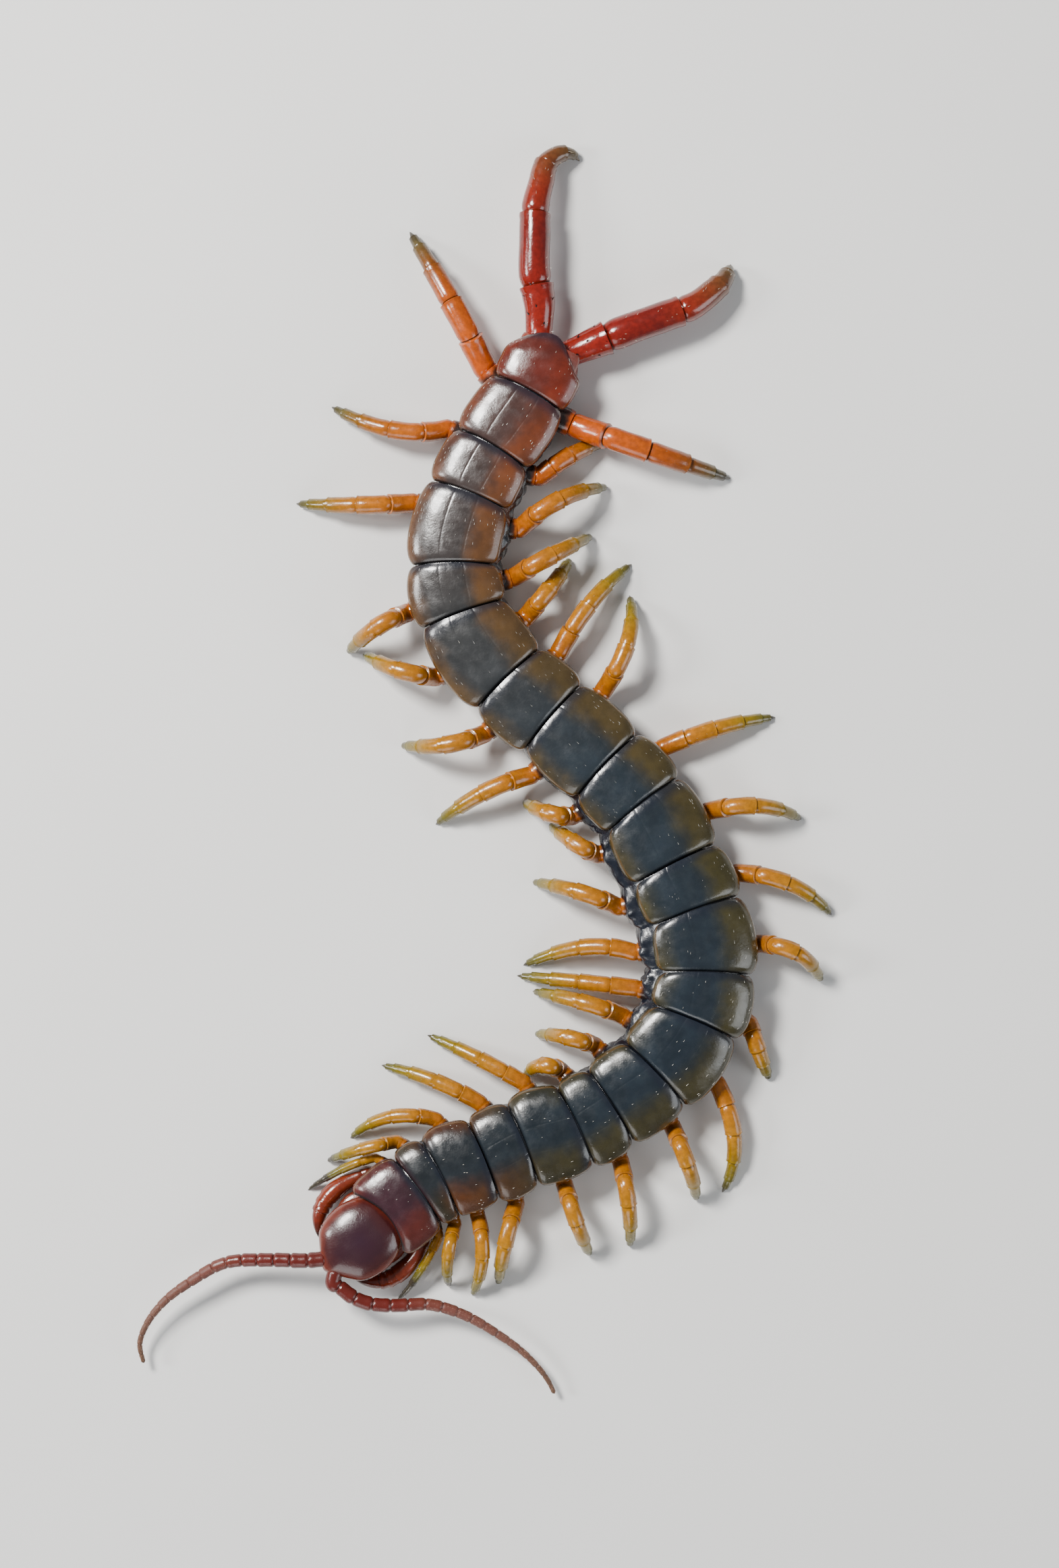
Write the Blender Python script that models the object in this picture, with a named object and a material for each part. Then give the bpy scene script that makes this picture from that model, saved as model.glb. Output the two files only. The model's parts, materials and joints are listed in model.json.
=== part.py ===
"""A giant centipede at life size, as a still museum model in a winding pose.

The model is in metres with Z up. Sizes below are millimetres. The animal stands on its own feet on
the plane z = 0. Its body is a chain of 21 plated segments swept along a smooth spine, with a head,
two poison claws, two feelers and 21 pairs of legs. Every named part is one closed solid, and parts
that touch keep a thin gap.
"""

import math
from typing import NamedTuple

import bmesh
import bpy
import numpy as np

MM = 0.001
GAP = 0.3
SHARP_ANGLE = math.radians(50.0)

# The plan of the pose was measured about the middle of the view. This is the middle of the ground
# that the whole animal covers, and the model's own origin is moved there.
GROUND_MIDDLE = (-4.17, 1.2)


class Segment(NamedTuple):
    """One plated segment: where its rear border crosses the spine, and its plate's full width."""

    rear_x: float
    rear_y: float
    width: float


HEAD_CENTRE = (-16.1, -43.3)
TRUNK_FRONT = (-13.3, -40.8)
SEGMENTS = (
    Segment(-10.5, -38.5, 8.8),
    Segment(-8.4, -37.1, 8.5),
    Segment(-4.1, -35.8, 8.9),
    Segment(-0.5, -34.0, 9.1),
    Segment(4.6, -32.5, 9.3),
    Segment(7.9, -30.5, 9.1),
    Segment(12.2, -27.5, 9.2),
    Segment(15.9, -22.5, 9.6),
    Segment(17.0, -17.8, 9.7),
    Segment(15.9, -11.8, 9.9),
    Segment(13.8, -7.4, 9.8),
    Segment(10.8, -1.7, 9.7),
    Segment(7.2, 1.9, 9.5),
    Segment(2.1, 6.5, 9.4),
    Segment(-2.2, 10.1, 9.4),
    Segment(-6.5, 16.3, 9.3),
    Segment(-7.4, 21.0, 9.1),
    Segment(-5.8, 27.7, 8.9),
    Segment(-3.5, 32.1, 8.5),
    Segment(0.0, 37.3, 8.5),
    Segment(2.5, 42.7, 7.9),
)
COUNT = len(SEGMENTS)
# The trunk is divided into these lengths, each from a first to a last segment.
TRUNK_LENGTHS = (
    (1, 1),
    (2, 3),
    (4, 5),
    (6, 7),
    (8, 9),
    (10, 11),
    (12, 13),
    (14, 15),
    (16, 17),
    (18, 19),
    (20, 20),
    (21, 21),
)

# Heights of the trunk, at a plate of the reference width. They shrink with a narrower plate.
REFERENCE_WIDTH = 9.5
BACK_HEIGHT = 5.9
PLATE_EDGE_HEIGHT = 4.25
PLATE_THICKNESS = 0.45
FLANK_TOP = 3.45
FLANK_FOOT = 1.55
EDGE_FALL = 1.6
FLANK_FALL = 1.2
BELLY_HEIGHT = 1.0
PIVOT_HEIGHT = 5.0
FRONT_DROP = 0.34
FLANK_SHARE = 0.82
BELLY_SHARE = 0.55
BELLY_SAG = 0.08
# A narrow segment's height as a share of the reference one's never falls below this.
LEAST_STATURE = 0.35
# The share of a ring's drop that the plate's edge takes. The back above it takes all of it.
EDGE_DROP_SHARE = 0.3
# The back, outwards from its middle: the share of the half width, and of the height it has fallen.
# The last point stands proud of an even curve, as the plate's raised rim.
DOME = ((0.42, 0.07), (0.74, 0.27), (0.93, 0.5))
UNDERSIDE_SHARE = 0.97

# The rings of a plate: their place along it, its half width there, and how far the back drops.
PLATE_RINGS = (
    (0.0, 0.87, FRONT_DROP),
    (0.14, 0.965, 0.06),
    (0.5, 1.0, 0.0),
    (0.84, 0.955, 0.03),
    (1.0, 0.87, 0.10),
)
RING_INSET = 0.08


class Lean(NamedTuple):
    """A stretch of the trunk that rolls to the left by an angle, and swells on one flank."""

    segment: float
    reach: float
    roll: float
    left_swell: float
    right_swell: float


LEANS = (
    Lean(9.8, 3.2, math.radians(9.0), 0.0, 0.24),
    Lean(17.6, 2.0, math.radians(-5.0), 0.14, 0.0),
)

# The last plate ends in two flat faces that turn outwards, where the long hind legs sit.
TAIL_TURN_RIGHT = math.radians(24.0)
TAIL_TURN_LEFT = math.radians(42.0)
TAIL_OVERHANG = 0.22
# As above, with the share of the two faces' turn that a ring has taken.
TAIL_RINGS = (
    (0.0, 0.87, FRONT_DROP, 0.0),
    (0.14, 0.975, 0.06, 0.0),
    (0.45, 1.0, 0.0, 0.15),
    (0.72, 0.97, 0.10, 0.5),
    (0.9, 0.88, 0.30, 0.85),
    (1.0, 0.8, 0.62, 1.0),
)

# The head plate, in its own frame: ahead and to the side of its centre.
HEAD_HALF_WIDTH = 3.75
HEAD_AHEAD = 4.6
HEAD_BEHIND = 4.4
FEELER_FACE_TURN = math.radians(35.0)
FEELER_FACE_REACH = 3.95
HEAD_SIDES = 36
# A turn faces one of the head's flat faces where its cosine to it is above this.
FACING = 0.1
# Each layer of the head: its height, and its outline's share of the full outline.
HEAD_LAYERS = (
    (1.55, 0.40),
    (1.8, 0.50),
    (2.85, 0.56),
    (3.05, 0.93),
    (3.3, 1.0),
    (4.35, 1.0),
    (4.85, 0.93),
    (5.15, 0.76),
    (5.35, 0.48),
    (5.42, 0.2),
)

# The feelers are routes in plan with a height at each point.
FEELER_RADIUS = 0.76
FEELER_TIP_RADIUS = 0.2
FEELER_SIDES = 8
FEELER_RINGS = 20
# The share of its length where a feeler starts to narrow fast, and its radius there as a share.
FEELER_WAIST = (0.35, 0.82)
# How far it stands straight out of the head before it bends.
FEELER_NECK = 0.7
FEELER_ROOT_SIDE = 1.0
FEELER_ROOT_HEIGHT = 3.83
FEELER_RIGHT = (
    (-24.5, -45.3, 3.6),
    (-29.3, -45.7, 3.3),
    (-32.1, -47.3, 3.0),
    (-34.9, -49.4, 2.6),
    (-36.8, -52.0, 2.1),
    (-37.3, -53.5, 1.8),
    (-36.9, -55.4, 1.5),
)
FEELER_LEFT = (
    (-18.4, -47.7, 3.75),
    (-17.1, -48.7, 3.7),
    (-15.6, -49.4, 3.5),
    (-12.8, -49.7, 3.2),
    (-9.7, -49.6, 2.9),
    (-6.4, -50.6, 2.5),
    (-3.1, -52.5, 2.1),
    (-0.1, -54.8, 1.7),
    (1.9, -57.3, 1.3),
    (2.4, -58.4, 1.1),
)

# The poison claws, ahead of the head's centre and to its side, with a height and a radius.
CLAW_ROOT_BEHIND_FRONT = 0.86
CLAW_ROUTE = (
    (-3.3, 4.6, 1.45, 0.6),
    (-1.2, 5.0, 1.55, 0.74),
    (0.5, 4.8, 1.55, 0.72),
    (1.6, 4.25, 1.55, 0.62),
    (2.4, 3.5, 1.65, 0.46),
    (2.9, 2.6, 1.6, 0.28),
    (3.0, 1.8, 1.55, 0.1),
)
CLAW_ROOT_HEIGHT = 1.6
CLAW_ROOT_RADIUS = 0.56
CLAW_SIDES = 8


class Step(NamedTuple):
    """A leg's stance in plan: where its knee and its foot stand, as seen from above.

    Root is the leg's place along its own segment. Arch is the height that the leg gains between
    root and foot, where it isn't as high as the leg's length asks.
    """

    knee: tuple[float, float]
    foot: tuple[float, float]
    root: float = 0.5
    arch: float = 0.0


STEPS_RIGHT = (
    Step((-17.9, -36.8), (-21.3, -39.0), 0.7),
    Step((-16.1, -34.8), (-19.4, -36.2), 0.45),
    Step((-13.4, -31.8), (-17.2, -34.0), 0.3),
    Step((-9.2, -28.3), (-14.2, -27.0), 0.55),
    Step((-4.9, -26.2), (-9.8, -24.1), 0.3),
    Step((1.2, -26.8), (-0.3, -27.9), 0.4, 2.2),
    Step((3.6, -24.1), (0.6, -24.0), 0.34, 2.6),
    Step((5.2, -20.8), (0.3, -19.9), 0.33),
    Step((4.7, -18.9), (-1.2, -18.4), 0.24),
    Step((5.0, -15.6), (-0.6, -17.4)),
    Step((4.9, -10.3), (0.3, -9.4), 0.66),
    Step((4.3, -5.6), (2.0, -3.9), 0.55, 2.4),
    Step((1.6, -2.7), (-0.5, -1.7), 0.74, 2.4),
    Step((-4.5, -0.9), (-9.0, -3.9), 0.64),
    Step((-8.1, 3.7), (-12.3, 3.7), 0.65),
    Step((-12.7, 10.9), (-15.9, 12.5)),
    Step((-14.8, 14.7), (-17.4, 12.6), 0.3),
    Step((-16.7, 26.6), (-22.4, 26.9), 0.67),
    Step((-13.2, 33.8), (-19.0, 36.2), 0.92),
    Step((-7.6, 46.2), (-11.5, 53.0), 0.92),
)
STEPS_LEFT = (
    Step((-10.9, -47.3), (-12.7, -49.5), 0.72),
    Step((-7.8, -45.4), (-7.7, -48.2), 0.4),
    Step((-4.5, -45.1), (-5.5, -49.1), 0.56),
    Step((-2.4, -44.2), (-3.0, -48.0), 0.22),
    Step((4.6, -42.0), (5.8, -45.2), 0.52),
    Step((9.5, -40.6), (9.6, -44.4), 0.46),
    Step((15.3, -36.9), (16.0, -39.9), 0.66),
    Step((19.6, -34.3), (18.5, -39.2), 0.46),
    Step((22.0, -25.8), (23.0, -28.3), 0.3, 0.9),
    Step((25.5, -16.1), (28.0, -18.9), 0.33),
    Step((25.0, -9.6), (29.0, -12.6), 0.32),
    Step((22.0, -2.1), (26.1, -3.4), 0.47),
    Step((18.5, 5.5), (23.6, 6.4), 0.46),
    Step((9.4, 13.7), (9.6, 18.1), 0.68),
    Step((6.1, 17.6), (9.8, 21.1), 0.57),
    Step((2.2, 19.0), (3.9, 21.6), 0.46, 1.6),
    Step((2.3, 21.8), (6.0, 23.8), 0.47),
    Step((3.1, 27.1), (7.5, 28.5), 0.72),
    Step((4.3, 31.6), (7.7, 33.0), 0.9, 0.5),
    Step((11.3, 31.7), (19.3, 29.3), 0.92, 2.3),
)


class Bulk(NamedTuple):
    """A leg pair's full length and root radius. Pairs in between take values in between."""

    pair: int
    length: float
    radius: float


BULKS = (
    Bulk(1, 9.0, 0.58),
    Bulk(2, 10.2, 0.64),
    Bulk(4, 11.6, 0.76),
    Bulk(10, 12.4, 0.78),
    Bulk(17, 12.8, 0.8),
    Bulk(19, 13.6, 0.86),
    Bulk(20, 17.2, 1.0),
)
LEG_SIDES = 7
ROOT_HEIGHT = 2.45
ROOT_HEIGHTS = {1: 2.78, 20: 2.3}
ROOT_GAP = 0.36
LEAST_ARCH = 0.5
MOST_ARCH = 3.3
FOOT_RADIUS = 0.14
LEAST_CLEARANCE = 0.05
SHOULDER = 1.0
SHOULDER_LEAN = 0.7
# The share of the leg over which its arch sets in, the power by which its root's height fades
# towards the foot, and how often the search for its arch halves its range.
RISE_SHARE = 0.22
ROOT_FALL_POWER = 1.5
HALVINGS = 30
# Where the leg's rings lie along its length, with the radius there as a share of the root's.
LEG_RINGS = (
    (0.0, 1.0),
    (0.05, 0.95),
    (0.2, 1.0),
    (0.27, 0.88),
    (0.43, 0.95),
    (0.5, 0.82),
    (0.66, 0.84),
    (0.73, 0.66),
    (0.86, 0.54),
    (0.95, 0.3),
    (1.0, 0.0),
)
# The long hind legs, as routes in plan with a height and a radius at each joint.
HIND_ROOT_SIDE = 1.5
HIND_ROOT_HEIGHT = 2.75
HIND_ROOT_RADIUS = 1.14
HIND_SIDES = 9
HIND_RIGHT = (
    (0.95, 45.6, 2.9, 1.3),
    (0.45, 49.0, 3.0, 1.22),
    (0.5, 52.2, 3.0, 1.2),
    (0.6, 55.3, 2.7, 1.06),
    (1.1, 57.4, 2.3, 0.92),
    (1.7, 59.4, 1.8, 0.76),
    (3.4, 60.4, 1.2, 0.5),
    (4.2, 60.3, 0.7, 0.3),
    (4.8, 59.8, 0.0, 0.14),
)
HIND_LEFT = (
    (6.5, 42.2, 2.8, 1.26),
    (9.8, 43.5, 2.95, 1.2),
    (12.9, 44.6, 2.9, 1.18),
    (15.9, 45.8, 2.6, 1.04),
    (17.3, 46.9, 2.2, 0.86),
    (18.5, 48.1, 1.6, 0.66),
    (19.0, 49.0, 0.9, 0.42),
    (19.2, 49.5, 0.35, 0.24),
    (19.3, 49.9, 0.0, 0.14),
)


class Paint(NamedTuple):
    """A finish: linear colour, roughness and how metallic it is."""

    colour: tuple[float, float, float]
    roughness: float
    metallic: float


HEAD_PAINT = Paint((0.045, 0.014, 0.016), 0.3, 0.0)
FRONT_PAINT = Paint((0.022, 0.026, 0.026), 0.32, 0.0)
BACK_PAINT = Paint((0.045, 0.055, 0.06), 0.32, 0.0)
REAR_PAINT = Paint((0.12, 0.045, 0.02), 0.32, 0.0)
LEG_PAINT = Paint((0.55, 0.15, 0.012), 0.35, 0.0)
HIND_PAINT = Paint((0.32, 0.02, 0.01), 0.3, 0.0)
FEELER_PAINT = Paint((0.16, 0.018, 0.012), 0.42, 0.0)


def unit(vector: np.ndarray) -> np.ndarray:
    return vector / np.linalg.norm(vector)


class Curve:
    """A smooth curve through given points, followed by its chord length."""

    def __init__(self, points: list) -> None:
        self.points = np.array(points, float)
        steps = np.linalg.norm(np.diff(self.points[:, :2], axis=0), axis=1)
        self.at = np.concatenate([[0.0], np.cumsum(steps)])
        slopes = np.diff(self.points, axis=0) / steps[:, None]
        before, after = steps[:-1, None], steps[1:, None]
        inner = (slopes[:-1] * after + slopes[1:] * before) / (before + after)
        self.slopes = np.vstack([slopes[:1], inner, slopes[-1:]])

    def point(self, along: float) -> np.ndarray:
        piece = int(np.clip(np.searchsorted(self.at, along) - 1, 0, len(self.at) - 2))
        length = self.at[piece + 1] - self.at[piece]
        t = (along - self.at[piece]) / length
        return (
            (1 + 2 * t) * (1 - t) ** 2 * self.points[piece]
            + t * (1 - t) ** 2 * length * self.slopes[piece]
            + t * t * (3 - 2 * t) * self.points[piece + 1]
            - t * t * (1 - t) * length * self.slopes[piece + 1]
        )

    def heading(self, along: float) -> np.ndarray:
        step = 0.02
        return unit(self.point(along + step) - self.point(along - step))


SPINE = Curve([HEAD_CENTRE, TRUNK_FRONT] + [segment[:2] for segment in SEGMENTS])


def border(index: int) -> float:
    """Where a segment's rear border lies along the spine. Index 0 is the trunk's front."""
    return float(SPINE.at[index + 1])


def lean_at(along: float) -> tuple[float, float, float]:
    """The trunk's roll, and how far its left and right flanks swell, at a place on the spine."""
    index = float(np.interp(along, SPINE.at, np.arange(len(SPINE.at)) - 1.0))
    weights = [math.exp(-(((index - lean.segment) / lean.reach) ** 2)) for lean in LEANS]
    roll = sum(w * lean.roll for w, lean in zip(weights, LEANS))
    left = sum(w * lean.left_swell for w, lean in zip(weights, LEANS))
    right = sum(w * lean.right_swell for w, lean in zip(weights, LEANS))
    return roll, left, right


class Place:
    """The trunk's frame at one place: backwards along the body, to its left, and up."""

    def __init__(self, along: float, square_to: float | None = None) -> None:
        self.middle = np.array([*SPINE.point(along), PIVOT_HEIGHT])
        self.back = np.array([*SPINE.heading(along if square_to is None else square_to), 0.0])
        level = np.array([self.back[1], -self.back[0], 0.0])
        roll, self.left_swell, self.right_swell = lean_at(along)
        up = np.array([0.0, 0.0, 1.0])
        self.left = math.cos(roll) * level - math.sin(roll) * up
        self.up = math.cos(roll) * up + math.sin(roll) * level

    def world(self, left: float, height: float, back: float = 0.0) -> np.ndarray:
        return self.middle + left * self.left + (height - PIVOT_HEIGHT) * self.up + back * self.back


def mean_width(along: float) -> float:
    """The plates' width at a place on the spine, smoothed from segment to segment."""
    middles = [(border(i) + border(i + 1)) / 2 for i in range(COUNT)]
    return float(np.interp(along, middles, [segment.width for segment in SEGMENTS]))


def flank(along: float, side: int, place: Place) -> float:
    """How far the flank stands from the middle. Side is 1 for the left and -1 for the right."""
    swell = place.left_swell if side > 0 else place.right_swell
    return mean_width(along) / 2 * (FLANK_SHARE + swell)


def trunk_ring(along: float, half: float, drop: float, shift=None, square_to: float | None = None) -> list:
    """One ring of the trunk, from the middle of the back round by the left, the belly and the right.

    Half is the plate's half width, drop how far the back lies lower here, and shift moves a point of
    the ring along the spine by its distance to the left and its height. A ring at a border is square
    to the spine at the border itself, so that two lengths meet with an even gap.
    """
    place = Place(along, square_to)
    stature = LEAST_STATURE + (1 - LEAST_STATURE) * mean_width(along) / REFERENCE_WIDTH
    height = (BACK_HEIGHT - PLATE_EDGE_HEIGHT) * stature
    edge = PLATE_EDGE_HEIGHT - (1 - stature) * EDGE_FALL - drop * EDGE_DROP_SHARE
    top = edge + height - drop * (1 - EDGE_DROP_SHARE)

    def one_side(side: int) -> list:
        wall = flank(along, side, place)
        return [
            *((side * share * half, top - fall * height) for share, fall in DOME),
            (side * half, edge),
            (side * UNDERSIDE_SHARE * half, edge - PLATE_THICKNESS),
            (side * wall, FLANK_TOP - (1 - stature) * FLANK_FALL),
            (side * wall, FLANK_FOOT),
            (side * BELLY_SHARE * mean_width(along) / 2, BELLY_HEIGHT + BELLY_SAG),
        ]

    flat = [(0.0, top)] + one_side(1) + [(0.0, BELLY_HEIGHT)] + one_side(-1)[::-1]
    return [place.world(u, z, shift(u, z) if shift else 0.0) for u, z in flat]


def tail_shift(turned: float):
    """The shift of the last plate's rings, which turns its end into two flat faces."""

    def shift(left: float, height: float) -> float:
        turn = TAIL_TURN_LEFT if left > 0 else TAIL_TURN_RIGHT
        return turned * (-abs(left) * math.tan(turn) + TAIL_OVERHANG * (height - HIND_ROOT_HEIGHT))

    return shift


def trunk_rings(first: int, last: int) -> list:
    rings = []
    for index in range(first, last + 1):
        front = border(index - 1)
        rear = border(index)
        start = front + (GAP / 2 if index == first else RING_INSET)
        end = rear - (GAP / 2 if index == last else RING_INSET)
        half = SEGMENTS[index - 1].width / 2
        if index == COUNT:
            for share, wide, drop, turned in TAIL_RINGS:
                square = front if share == 0.0 else None
                place = start + (rear - start) * share
                rings.append(trunk_ring(place, half * wide, drop, tail_shift(turned), square))
            continue
        for share, wide, drop in PLATE_RINGS:
            square = {0.0: front, 1.0: rear}.get(share)
            rings.append(trunk_ring(start + (end - start) * share, half * wide, drop, None, square))
    return rings


def tube_rings(centres: np.ndarray, radii: list, sides: int, first_ring=None, foot: bool = False) -> list:
    """Round rings along a line of centres. The first ring may be given, and a foot ends level."""
    rings = []
    ways = [unit(step) for step in np.diff(centres, axis=0)]
    for i, (centre, radius) in enumerate(zip(centres, radii)):
        if i == 0 and first_ring is not None:
            rings.append(first_ring)
            continue
        along = unit(ways[max(i - 1, 0)] + ways[min(i, len(ways) - 1)])
        across = unit(np.array([-along[1], along[0], 0.0]))
        raised = np.cross(along, across)
        if foot and i == len(centres) - 1:
            raised = np.cross(np.array([0.0, 0.0, -1.0]), across)
        rings.append(round_ring(centre, across, raised, radius, sides))
    return rings


def round_ring(centre: np.ndarray, across: np.ndarray, raised: np.ndarray, radius: float, sides: int):
    """A ring of points about a centre, in the plane of two directions square to each other."""
    turns = [2 * math.pi * k / sides for k in range(sides)]
    return [centre + radius * (math.cos(turn) * across + math.sin(turn) * raised) for turn in turns]


def plan_path(root: np.ndarray, step: Step, out: np.ndarray, count: int = 48) -> np.ndarray:
    """Points in plan from the root, out past the plate's edge, then over the knee to the foot."""
    knee = np.array(step.knee)
    foot = np.array(step.foot)
    shoulder = root + SHOULDER * unit(out + SHOULDER_LEAN * unit(knee - root))
    control = 2 * knee - (shoulder + foot) / 2
    t = np.linspace(0, 1, count)[:, None]
    bend = (1 - t) ** 2 * shoulder + 2 * t * (1 - t) * control + t * t * foot
    return np.vstack([root, bend])


def leg_line(root: np.ndarray, step: Step, out: np.ndarray, length: float) -> np.ndarray:
    """The leg's line in space. It arches as high as its own length asks, or as its step says."""
    plan = plan_path(root[:2], step, out[:2])
    gone = np.concatenate([[0.0], np.cumsum(np.linalg.norm(np.diff(plan, axis=0), axis=1))])
    share = gone / gone[-1]
    clear = SHOULDER / gone[-1]
    rise = 4 * share * (1 - share) * np.clip((share - clear) / RISE_SHARE, 0, 1)

    def line(arch: float) -> np.ndarray:
        height = root[2] * (1 - share**ROOT_FALL_POWER) + arch * rise
        return np.column_stack([plan, height])

    low, high = (step.arch, step.arch) if step.arch else (LEAST_ARCH, MOST_ARCH)
    for _ in range(HALVINGS):
        arch = (low + high) / 2
        long = np.linalg.norm(np.diff(line(arch), axis=0), axis=1).sum() > length
        low, high = (low, arch) if long else (arch, high)
    return line(low)


def at_shares(line: np.ndarray, shares: list) -> np.ndarray:
    gone = np.concatenate([[0.0], np.cumsum(np.linalg.norm(np.diff(line, axis=0), axis=1))])
    places = np.array(shares) * gone[-1]
    return np.column_stack([np.interp(places, gone, line[:, axis]) for axis in range(3)])


def leg_rings(pair: int, side: int) -> list:
    """A walking leg's rings, from the flat face on the flank to the small flat foot."""
    step = (STEPS_LEFT if side > 0 else STEPS_RIGHT)[pair - 1]
    front, rear = border(pair - 1), border(pair)
    along = front + (rear - front) * step.root
    place = Place(along)
    length = float(np.interp(pair, [b.pair for b in BULKS], [b.length for b in BULKS]))
    radius = float(np.interp(pair, [b.pair for b in BULKS], [b.radius for b in BULKS]))
    root = place.world(side * (flank(along, side, place) + ROOT_GAP), ROOT_HEIGHTS.get(pair, ROOT_HEIGHT))
    out = side * place.left
    line = leg_line(root, step, out, length)
    centres = at_shares(line, [share for share, _ in LEG_RINGS])
    radii = [max(radius * share, FOOT_RADIUS) for _, share in LEG_RINGS]
    for i in range(1, len(centres) - 1):
        centres[i][2] = max(centres[i][2], radii[i] + LEAST_CLEARANCE)
    centres[-1][2] = 0.0
    first = round_ring(root, side * place.back, place.up, radius, LEG_SIDES)
    return tube_rings(centres, radii, LEG_SIDES, first, foot=True)


def head_point(ahead: float, left: float, height: float) -> np.ndarray:
    """A point given ahead and to the left of the head's centre."""
    place = Place(border(0))
    forward = -place.back
    centre = np.array([*HEAD_CENTRE, 0.0])
    level = np.array([place.back[1], -place.back[0], 0.0])
    return centre + ahead * forward + left * level + np.array([0.0, 0.0, height])


def head_outline(turn: float) -> float:
    """How far the head's edge is from its centre, at a turn from straight ahead."""
    long = HEAD_AHEAD if math.cos(turn) > 0 else HEAD_BEHIND
    reach = 1 / math.hypot(math.cos(turn) / long, math.sin(turn) / HEAD_HALF_WIDTH)
    for face in (FEELER_FACE_TURN, -FEELER_FACE_TURN):
        if math.cos(turn - face) > FACING:
            reach = min(reach, FEELER_FACE_REACH / math.cos(turn - face))
    if math.cos(turn) < -FACING:
        neck = math.dist(HEAD_CENTRE, TRUNK_FRONT) - GAP / 2
        reach = min(reach, neck / -math.cos(turn))
    return reach


def head_rings() -> list:
    turns = [2 * math.pi * k / HEAD_SIDES for k in range(HEAD_SIDES)]
    reaches = [head_outline(turn) for turn in turns]
    outline = [(reach * math.cos(turn), reach * math.sin(turn)) for reach, turn in zip(reaches, turns)]
    return [[head_point(share * a, share * b, height) for a, b in outline] for height, share in HEAD_LAYERS]


def feeler_rings(side: int) -> list:
    """A feeler's rings, from the flat face at the front of the head to its tip."""
    turn = side * FEELER_FACE_TURN
    ahead = (FEELER_FACE_REACH - FEELER_ROOT_SIDE * math.sin(FEELER_FACE_TURN)) / math.cos(FEELER_FACE_TURN)
    face = head_point(ahead, side * FEELER_ROOT_SIDE, FEELER_ROOT_HEIGHT)
    out = head_point(math.cos(turn), math.sin(turn), 0.0) - head_point(0.0, 0.0, 0.0)
    root = face + GAP * out
    route = [root, root + FEELER_NECK * out, *(FEELER_LEFT if side > 0 else FEELER_RIGHT)]
    curve = Curve(route)
    long = curve.at[-1]
    places = np.linspace(0, long, FEELER_RINGS)
    centres = np.array([curve.point(place) for place in places])
    waist_at, waist = FEELER_WAIST
    widths = [FEELER_RADIUS, waist * FEELER_RADIUS, FEELER_TIP_RADIUS]
    radii = np.interp(places, [0.0, waist_at * long, long], widths)
    across = unit(np.array([-out[1], out[0], 0.0]))
    first = round_ring(root, across, np.array([0.0, 0.0, 1.0]), FEELER_RADIUS, FEELER_SIDES)
    return tube_rings(centres, radii, FEELER_SIDES, first)


def claw_rings(side: int) -> list:
    """A poison claw's rings, from the flank of the first segment round the head to its point."""
    along = border(0) + CLAW_ROOT_BEHIND_FRONT
    place = Place(along)
    root = place.world(side * (flank(along, side, place) + GAP), CLAW_ROOT_HEIGHT)
    centres = [root] + [head_point(a, side * u, z) for a, u, z, _ in CLAW_ROUTE]
    radii = [CLAW_ROOT_RADIUS] + [r for _, _, _, r in CLAW_ROUTE]
    first = round_ring(root, side * place.back, place.up, CLAW_ROOT_RADIUS, CLAW_SIDES)
    return tube_rings(np.array(centres), radii, CLAW_SIDES, first)


def hind_rings(side: int) -> list:
    """A long hind leg's rings, from its flat face on the last plate's end to its foot."""
    place = Place(border(COUNT))
    turn = TAIL_TURN_LEFT if side > 0 else TAIL_TURN_RIGHT
    face = place.world(side * HIND_ROOT_SIDE, HIND_ROOT_HEIGHT, -HIND_ROOT_SIDE * math.tan(turn))
    along_face = unit(side * place.left - math.tan(turn) * place.back)
    up_face = unit(place.up + TAIL_OVERHANG * place.back)
    out = unit(np.cross(along_face, up_face) * -side)
    root = face + GAP * out
    route = HIND_LEFT if side > 0 else HIND_RIGHT
    centres = [root] + [np.array(p[:3]) for p in route]
    radii = [HIND_ROOT_RADIUS] + [p[3] for p in route]
    across = unit(np.array([-out[1], out[0], 0.0]))
    first = round_ring(root, across, unit(np.cross(out, across)), HIND_ROOT_RADIUS, HIND_SIDES)
    return tube_rings(np.array(centres), radii, HIND_SIDES, first, foot=True)


def finish(paint: Paint, name: str) -> bpy.types.Material:
    material = bpy.data.materials.new(name)
    material.use_nodes = True
    shader = material.node_tree.nodes["Principled BSDF"]
    shader.inputs["Base Color"].default_value = (*paint.colour, 1.0)
    shader.inputs["Roughness"].default_value = paint.roughness
    shader.inputs["Metallic"].default_value = paint.metallic
    return material


def solid(name: str, rings: list, paint: Paint) -> bpy.types.Object:
    """Skins the rings into one closed body with flat ends."""
    mesh = bmesh.new()
    middle = np.array([*GROUND_MIDDLE, 0.0])
    rows = [[mesh.verts.new((point - middle) * MM) for point in ring] for ring in rings]
    count = len(rows[0])
    for row, following in zip(rows, rows[1:]):
        for k in range(count):
            mesh.faces.new((row[k], row[(k + 1) % count], following[(k + 1) % count], following[k]))
    mesh.faces.new(rows[0][::-1])
    mesh.faces.new(rows[-1])
    bmesh.ops.recalc_face_normals(mesh, faces=mesh.faces)
    bmesh.ops.triangulate(mesh, faces=mesh.faces)
    data = bpy.data.meshes.new(name)
    mesh.to_mesh(data)
    mesh.free()
    data.shade_smooth()
    data.set_sharp_from_angle(angle=SHARP_ANGLE)
    data.materials.append(finish(paint, name))
    thing = bpy.data.objects.new(name, data)
    bpy.context.scene.collection.objects.link(thing)
    return thing


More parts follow.
